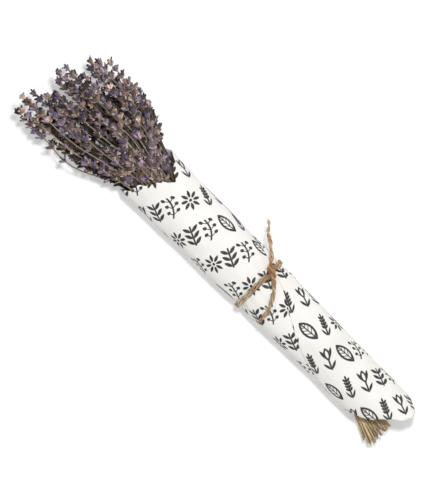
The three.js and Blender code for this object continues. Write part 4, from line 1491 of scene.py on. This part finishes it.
class LAVENDER_OT_twine(bpy.types.Operator):
    """Makes the doubled twine with its knot and tails"""

    bl_idname = "lavender.twine"
    bl_label = "Twine"

    def execute(self, context):
        s = context.scene.lavender_twine
        radius, pitch = s.radius / MM, s.pitch / MM
        rng = np.random.default_rng(TWINE_SEED)
        parts = []
        for side in (-1, 1):
            strand = strand_points(side), STRAND_FIBRES, STRAND_TUFT
            arch = arch_points(side), ARCH_FIBRES, ARCH_TUFT
            for points, fibres, tuft in (strand, arch):
                line, far = smooth_line(points, PLY_SPACING)
                parts += ply_parts(line, far, radius, pitch, side, rng)
                parts.append(fibre_parts(line, far, radius, fibres, rng))
                parts += tuft_parts(line, radius, tuft, rng)
        points, faces, attributes = joined(parts)
        new_piece("jute_twine", points, faces, jute_finish(s.brown), "twine", ["twine_tie"], **attributes)
        return {"FINISHED"}


class LAVENDER_OT_stage(bpy.types.Operator):
    """Makes the floor, the light and the camera"""

    bl_idname = "lavender.stage"
    bl_label = "Floor, light and camera"

    def execute(self, context):
        s = context.scene.lavender_stage
        scene = context.scene
        mesh = bpy.data.meshes.new("floor")
        square = np.array([(-1, -1, 0), (1, -1, 0), (1, 1, 0), (-1, 1, 0)])
        mesh.from_pydata((FLOOR_HALF_SIZE * square).tolist(), [], [(0, 1, 2, 3)])
        mesh.materials.append(floor_finish(s.floor))
        floor = bpy.data.objects.new("floor", mesh)
        scene.collection.objects.link(floor)

        world = bpy.data.worlds.new("room light")
        world.use_nodes = True
        world.node_tree.nodes["Background"].inputs[0].default_value = (1, 1, 1, 1)
        world.node_tree.nodes["Background"].inputs[1].default_value = s.sky
        scene.world = world

        key = bpy.data.lights.new("key light", "AREA")
        key.energy, key.shape, key.size = s.key_power, "DISK", LAMP_SIZE
        lamp = bpy.data.objects.new("key light", key)
        lamp.location = LAMP_DISTANCE * unit(LAMP_TOWARD)
        x, y, _ = LAMP_TOWARD
        lamp.rotation_euler = (math.atan(math.hypot(x, y)), 0, math.atan2(x, -y))
        scene.collection.objects.link(lamp)

        camera = bpy.data.objects.new("camera", bpy.data.cameras.new("camera"))
        camera.data.sensor_width = SENSOR_WIDTH
        camera.data.lens = SENSOR_WIDTH * s.camera_distance / PICTURE_WIDTH
        x, y, z = PICTURE_MIDDLE
        camera.location = (x, y, z + s.camera_distance)
        camera.rotation_euler = (0, 0, math.atan2(PICTURE_RIGHT[1], PICTURE_RIGHT[0]))
        scene.collection.objects.link(camera)
        scene.camera = camera
        scene.view_settings.view_transform = "Standard"
        return {"FINISHED"}


class LAVENDER_PT_panel(bpy.types.Panel):
    """Shows the settings of the bunch and the buttons that make its pieces"""

    bl_idname = "LAVENDER_PT_panel"
    bl_label = "Dried lavender bunch"
    bl_space_type = "VIEW_3D"
    bl_region_type = "UI"
    bl_category = "Lavender"

    def draw(self, context):
        for group in SETTINGS:
            box = self.layout.box()
            settings = getattr(context.scene, group)
            for key in settings.__annotations__:
                box.prop(settings, key)
        for operator in OPERATORS:
            self.layout.operator(operator.bl_idname)


SETTINGS = {
    "lavender_sprigs": LavenderSprigSettings,
    "lavender_paper": LavenderPaperSettings,
    "lavender_twine": LavenderTwineSettings,
    "lavender_stage": LavenderStageSettings,
}
OPERATORS = (
    LAVENDER_OT_stage, LAVENDER_OT_paper, LAVENDER_OT_twine, LAVENDER_OT_stems, LAVENDER_OT_spikes,
)


def register():
    """Adds the settings, the operators and the panel."""
    for name, settings in SETTINGS.items():
        bpy.utils.register_class(settings)
        setattr(bpy.types.Scene, name, bpy.props.PointerProperty(type=settings))
    for operator in OPERATORS:
        bpy.utils.register_class(operator)
    bpy.utils.register_class(LAVENDER_PT_panel)


def unregister():
    """Takes them away again."""
    bpy.utils.unregister_class(LAVENDER_PT_panel)
    for operator in reversed(OPERATORS):
        bpy.utils.unregister_class(operator)
    for name, settings in reversed(SETTINGS.items()):
        delattr(bpy.types.Scene, name)
        bpy.utils.unregister_class(settings)


def main():
    """Makes the stage and the pieces."""
    register()
    bpy.ops.lavender.stage()
    bpy.ops.lavender.paper()
    bpy.ops.lavender.twine()
    bpy.ops.lavender.stems()
    bpy.ops.lavender.spikes()


if __name__ == "__main__":
    main()
